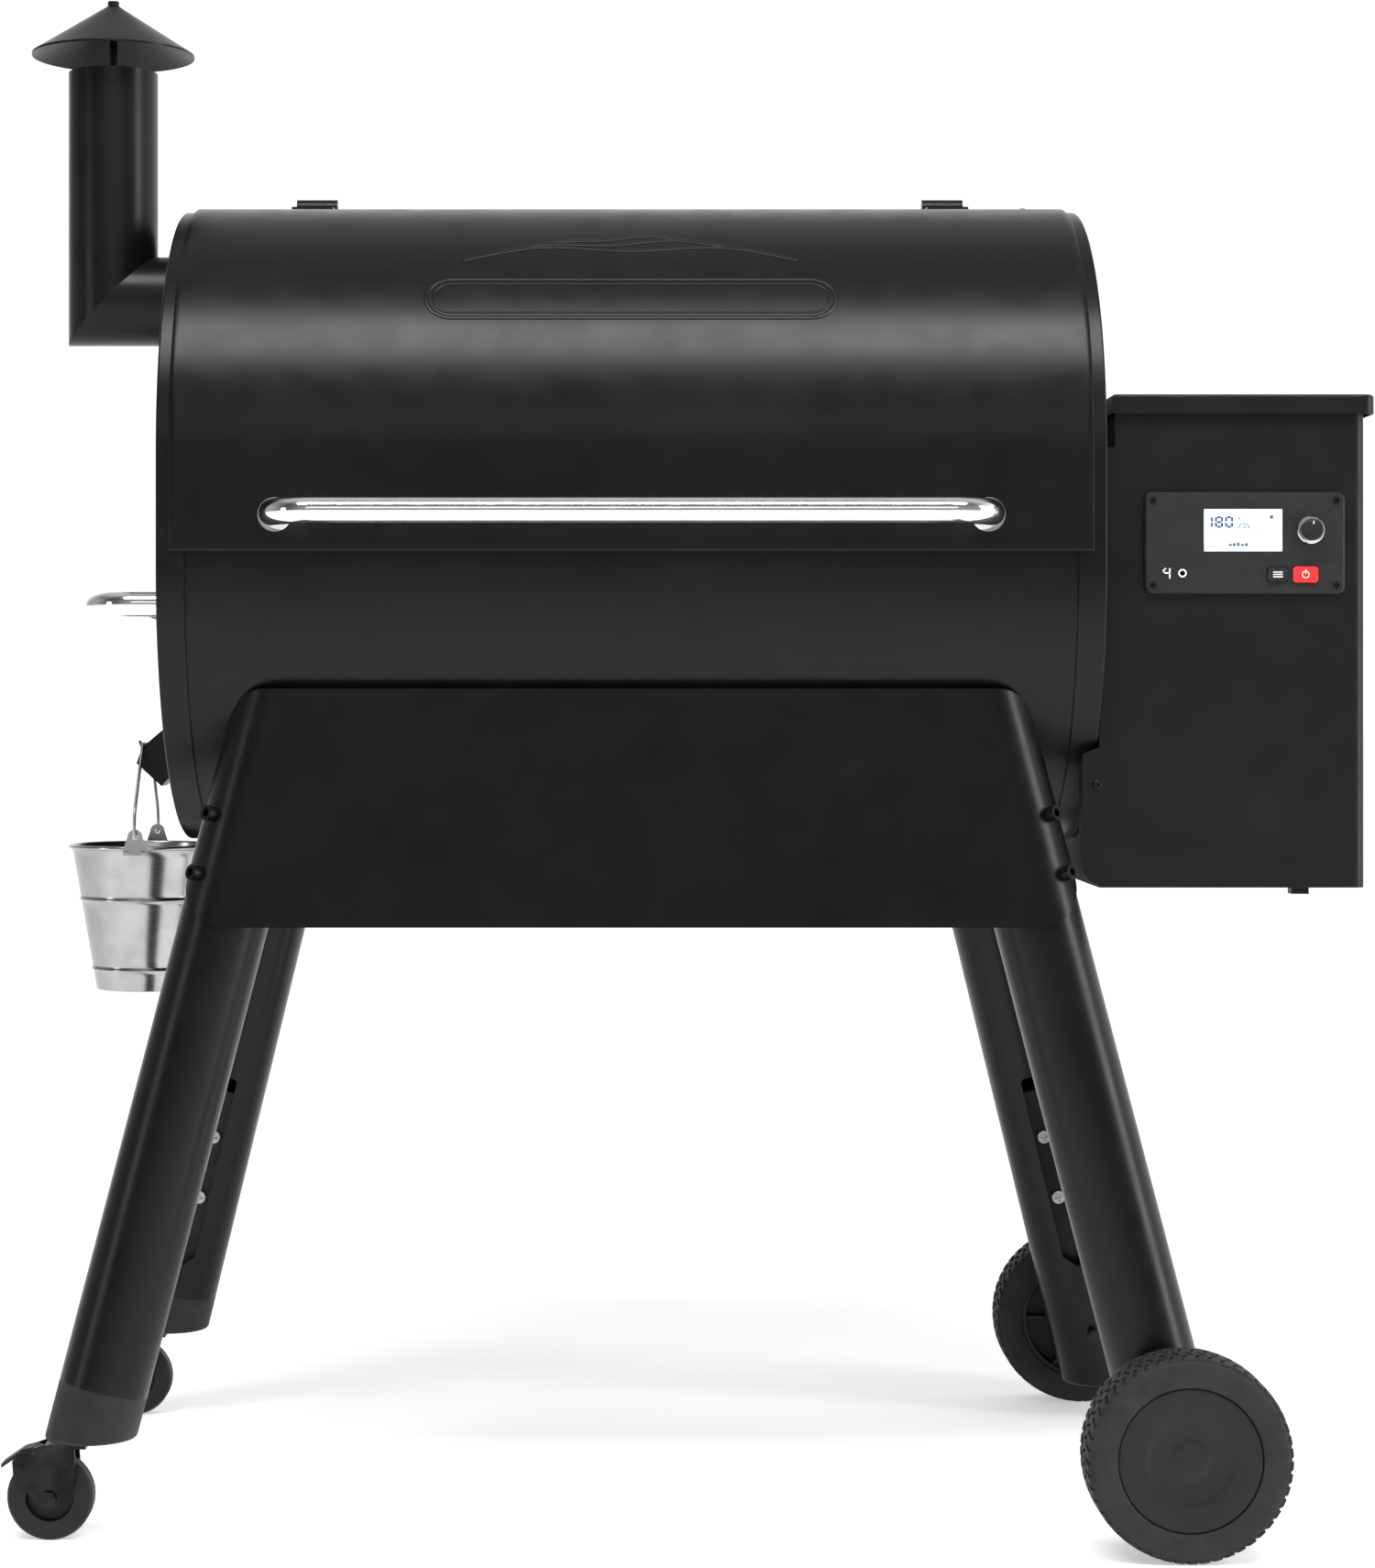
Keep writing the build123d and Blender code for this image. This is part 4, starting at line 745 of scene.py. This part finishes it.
def build_screen():
    """Backlit display with plain figures and bars; marks are in mm from its lower left corner."""
    low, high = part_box("display_module")
    face = low.y
    side_margin, end_margin = 2.2 * mm, 1.7 * mm
    x0, x1 = low.x + side_margin, high.x - side_margin
    z0, z1 = low.z + end_margin, high.z - end_margin
    bm = bmesh.new()
    outline = rounded([(x0, z0), (x1, z0), (x1, z1), (x0, z1)], 1.2 * mm)
    prism(bm, outline, facing_front(face), -0.3 * mm, 0.35 * mm, 0.15 * mm)
    piece("screen_glass", bm, "screen", "root")
    ink = bmesh.new()
    ink_front, ink_back = face - 0.55 * mm, face - 0.3 * mm

    def mark(u0, v0, u1, v1):
        box_mesh(ink, (x0 + u0 * mm, ink_front, z0 + v0 * mm), (x0 + u1 * mm, ink_back, z0 + v1 * mm))

    def figures(text, u, v, width, tall, thick, gap):
        bars = segment_bars(width, tall, thick)
        for index, figure in enumerate(text):
            shift = u + index * (width + gap)
            for key in SEGMENTS[figure]:
                (a, b), (c, d) = bars[key]
                mark(shift + a, v + b, shift + c, v + d)

    figures("180", 0.6, 20.8, 7.4, 10.4, 2.0, 1.6)
    figures("205", 30.5, 20.5, 2.8, 4.8, 0.8, 0.9)
    dividers = ((28.3, 17.5, 28.6, 33.0), (43.5, 17.5, 43.8, 33.0))
    degree = (30.5, 28.4, 32.6, 29.6)
    baseline = (2.0, 16.2, 63.5, 16.5)
    for corners in (*dividers, degree, baseline):
        mark(*corners)
    for k in range(5):
        mark(22 + k * 3.6, 4.5, 24.6 + k * 3.6, 6.6 + (k % 3) * 0.7)
    mark(58.5, 29.0, 61.5, 32.0)
    piece("screen_marks", ink, "screen", "root", material=screen_ink)


def build_button_marks():
    """Raised plain marks on the two buttons, and a ring and a sign at the probe jack."""
    low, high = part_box("menu_button")
    centre = (low + high) / 2
    bm = bmesh.new()
    bar_half, bar_thick, bar_gap = 4.2 * mm, 0.45 * mm, 2.1 * mm
    for k in (-1, 0, 1):
        z = centre.z + k * bar_gap
        bar_low = (centre.x - bar_half, low.y - 0.15 * mm, z - bar_thick)
        box_mesh(bm, bar_low, (centre.x + bar_half, low.y + 0.2 * mm, z + bar_thick))
    piece("menu_button_mark", bm, None, "menu_key", material=white_mark)
    low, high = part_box("ignite_button")
    centre = (low + high) / 2
    bm = bmesh.new()
    place = Vector((centre.x, low.y - 0.15 * mm, centre.z))
    ring_in, ring_out, ring_deep = 2.6 * mm, 3.3 * mm, 0.35 * mm
    ring = [(ring_in, 0.0), (ring_out, 0.0), (ring_out, ring_deep), (ring_in, ring_deep)]
    lathe(bm, place, (0, 1, 0), ring, 40)
    stroke_low = (centre.x - 0.4 * mm, low.y - 0.2 * mm, centre.z + 0.6 * mm)
    box_mesh(bm, stroke_low, (centre.x + 0.4 * mm, low.y + 0.2 * mm, centre.z + 4.4 * mm))
    piece("ignite_button_mark", bm, None, "ignite_key", material=white_mark)
    jack_low, jack_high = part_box("probe_jack")
    jack = (jack_low + jack_high) / 2
    bm = bmesh.new()
    ring = [(2.4, 1.2), (3.75, 1.2), (3.75, 1.75), (3.4, 2.0), (2.6, 2.0), (2.4, 1.8)]
    ring = [(r * mm, along * mm) for r, along in ring]
    lathe(bm, (jack.x, panel_low.y, jack.z), (0, -1, 0), ring, 48)
    piece("probe_jack_ring", bm, None, "root", material=white_mark)
    bm = bmesh.new()
    sign_x = jack.x - 12.5 * mm
    sign_front, sign_back = panel_low.y - 0.18 * mm, panel_low.y + 0.1 * mm
    crossbar = (-4.6, -0.3, 2.2, 1.0)
    left_stroke = (-4.6, -0.3, -3.3, 4.6)
    right_stroke = (0.9, -4.6, 2.2, 4.6)
    serif = (-4.6, 3.4, -1.6, 4.6)
    for u0, v0, u1, v1 in (crossbar, left_stroke, right_stroke, serif):
        stroke_low = (sign_x + u0 * mm, sign_front, jack.z + v0 * mm)
        box_mesh(bm, stroke_low, (sign_x + u1 * mm, sign_back, jack.z + v1 * mm))
    piece("probe_sign", bm, None, "root", material=white_mark)


build_knob()
build_screen()
build_button_marks()


# ---------------------------------------------------------------- small fasteners
def dome_screw(bm, place, axis, radius, height, recess=True):
    """Low domed head with a round socket or a plain top."""
    sunk = 0.3 * mm
    outline = [
        (radius, -sunk),
        (radius, height * 0.35),
        (radius * 0.9, height * 0.7),
        (radius * 0.62, height * 0.95),
    ]
    if recess:
        outline += [(radius * 0.45, height), (radius * 0.42, height * 0.45), (0.0, height * 0.4)]
    else:
        outline.append((0.0, height))
    lathe(bm, place, axis, outline, 24, False)


def build_fasteners():
    """Screw heads on the end caps and the hopper's flange, and the lid's stop rivet."""
    left_low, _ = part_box("left_end_cap")
    _, right_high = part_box("right_end_cap")
    cap_screw_y, cap_screw_z = 0.2, 0.788
    bm = bmesh.new()
    for x, side in ((left_low.x, -1), (right_high.x, 1)):
        for y in (-cap_screw_y, cap_screw_y):
            dome_screw(bm, (x, y, cap_screw_z), (side, 0, 0), 5.5 * mm, 3.2 * mm)
    piece("end_cap_screws", bm, "bolt_black", "root")
    case_low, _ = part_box("hopper_case")
    bm = bmesh.new()
    flange_screw = (right_high.x - 1.7 * mm, case_low.y - 0.05 * mm, 0.6566)
    dome_screw(bm, flange_screw, (0, -1, 0), 4.5 * mm, 3 * mm)
    piece("hopper_flange_screw", bm, "bolt_black", "root")
    bm = bmesh.new()
    rivet_right, rivet_forward = 373 * mm, 4 * mm
    lid_rivet = ((lid_low.x + lid_high.x) / 2 + rivet_right, -rivet_forward, lid_high.z)
    dome_screw(bm, lid_rivet, (0, 0, 1), 4 * mm, 2.8 * mm, False)
    piece("lid_stop_rivet", bm, "bolt_black", "lid")


build_fasteners()


# ---------------------------------------------------------------- floor, light and camera
def soft_light(name, place, size, power):
    """A rectangular soft light aimed at the barrel's middle."""
    data = bpy.data.lights.new(name, "AREA")
    data.shape = "RECTANGLE"
    data.size, data.size_y = size
    data.energy = power
    obj = bpy.data.objects.new(name, data)
    bpy.context.scene.collection.objects.link(obj)
    obj.location = place
    aim = Vector((0.0, 0.0, 0.9)) - Vector(place)
    obj.rotation_euler = aim.to_track_quat("-Z", "Y").to_euler()


def build_floor():
    """Pale floor that glows a little more far from the grill, so that it meets the surround."""
    reach = 90.0
    near, far = 1.5, 7.0
    near_glow, far_glow = 0.42, 0.66
    bm = bmesh.new()
    bmesh.ops.create_grid(bm, x_segments=2, y_segments=2, size=reach)
    mesh = bpy.data.meshes.new("floor")
    bm.to_mesh(mesh)
    bm.free()
    material, shader = new_material("floor_pale", (0.9, 0.9, 0.9), 0.85)
    tinted(material, shader, noise(material, 3, 3), (0.89, 0.89, 0.89), (0.92, 0.92, 0.92))
    shader.inputs["Emission Color"].default_value = (1, 1, 1, 1)
    tree = material.node_tree
    spot = tree.nodes.new("ShaderNodeTexCoord")
    away = tree.nodes.new("ShaderNodeVectorMath")
    away.operation = "LENGTH"
    tree.links.new(spot.outputs["Object"], away.inputs[0])
    glow = ranged(material, away.outputs["Value"], near_glow, far_glow, near, far)
    tree.links.new(glow, shader.inputs["Emission Strength"])
    mesh.materials.append(material)
    floor = bpy.data.objects.new("floor", mesh)
    bpy.context.scene.collection.objects.link(floor)


def build_surround():
    """Even pale surround that is dimmer in front, on the left and overhead."""
    world = bpy.data.worlds.new("surround")
    world.use_nodes = True
    bpy.context.scene.world = world
    tree = world.node_tree
    background = tree.nodes["Background"]
    place = tree.nodes.new("ShaderNodeTexCoord")
    split = tree.nodes.new("ShaderNodeSeparateXYZ")
    tree.links.new(place.outputs["Generated"], split.inputs["Vector"])
    strength = None
    # Each row: the direction's part, where its change starts and stops, and the strength before and after.
    for direction, start, stop, before, after in (
        ("Y", -0.45, 0.2, 0.3, 1.3),
        ("X", -0.85, -0.35, 0.3, 1.0),
        ("Z", 0.35, 0.7, 1.0, 0.45),
    ):
        node = tree.nodes.new("ShaderNodeMapRange")
        node.interpolation_type = "SMOOTHSTEP"
        node.inputs["From Min"].default_value = start
        node.inputs["From Max"].default_value = stop
        node.inputs["To Min"].default_value = before
        node.inputs["To Max"].default_value = after
        tree.links.new(split.outputs[direction], node.inputs["Value"])
        share = node.outputs["Result"]
        if strength is None:
            strength = share
            continue
        product = tree.nodes.new("ShaderNodeMath")
        product.operation = "MULTIPLY"
        tree.links.new(strength, product.inputs[0])
        tree.links.new(share, product.inputs[1])
        strength = product.outputs["Value"]
    tree.links.new(strength, background.inputs["Strength"])
    background.inputs["Color"].default_value = (0.98, 0.985, 1.0, 1)


def build_studio():
    """Floor, surround and four soft lights: above, at both sides and in front of the handle."""
    build_floor()
    build_surround()
    soft_light("top_front", (0.0, -1.7, 3.3), (3.6, 0.95), 150)
    soft_light("left_strip", (-2.6, -1.3, 0.9), (0.4, 1.4), 8)
    soft_light("right_strip", (2.8, -0.9, 1.1), (0.6, 2.4), 48)
    soft_light("handle_front", (0.0, -4.6, 2.4), (3.6, 0.7), 14)
    bpy.context.scene.view_settings.view_transform = "Standard"


def build_camera():
    """Level camera in front, framed a little to the lower right of its own axis."""
    frame_long = 1710
    focal = 3500
    shift_right, shift_down = 82, 85
    place_y, place_z = -3.053, 0.7267
    left_of_middle = 0.0167
    data = bpy.data.cameras.new("camera")
    data.sensor_width = 36
    data.lens = data.sensor_width * focal / frame_long
    data.shift_x = shift_right / frame_long
    data.shift_y = -shift_down / frame_long
    data.clip_end = 100
    camera = bpy.data.objects.new("camera", data)
    bpy.context.scene.collection.objects.link(camera)
    camera.location = ((lid_low.x + lid_high.x) / 2 - left_of_middle, place_y, place_z)
    camera.rotation_euler = (math.pi / 2, 0, 0)
    bpy.context.scene.camera = camera


build_studio()
build_camera()
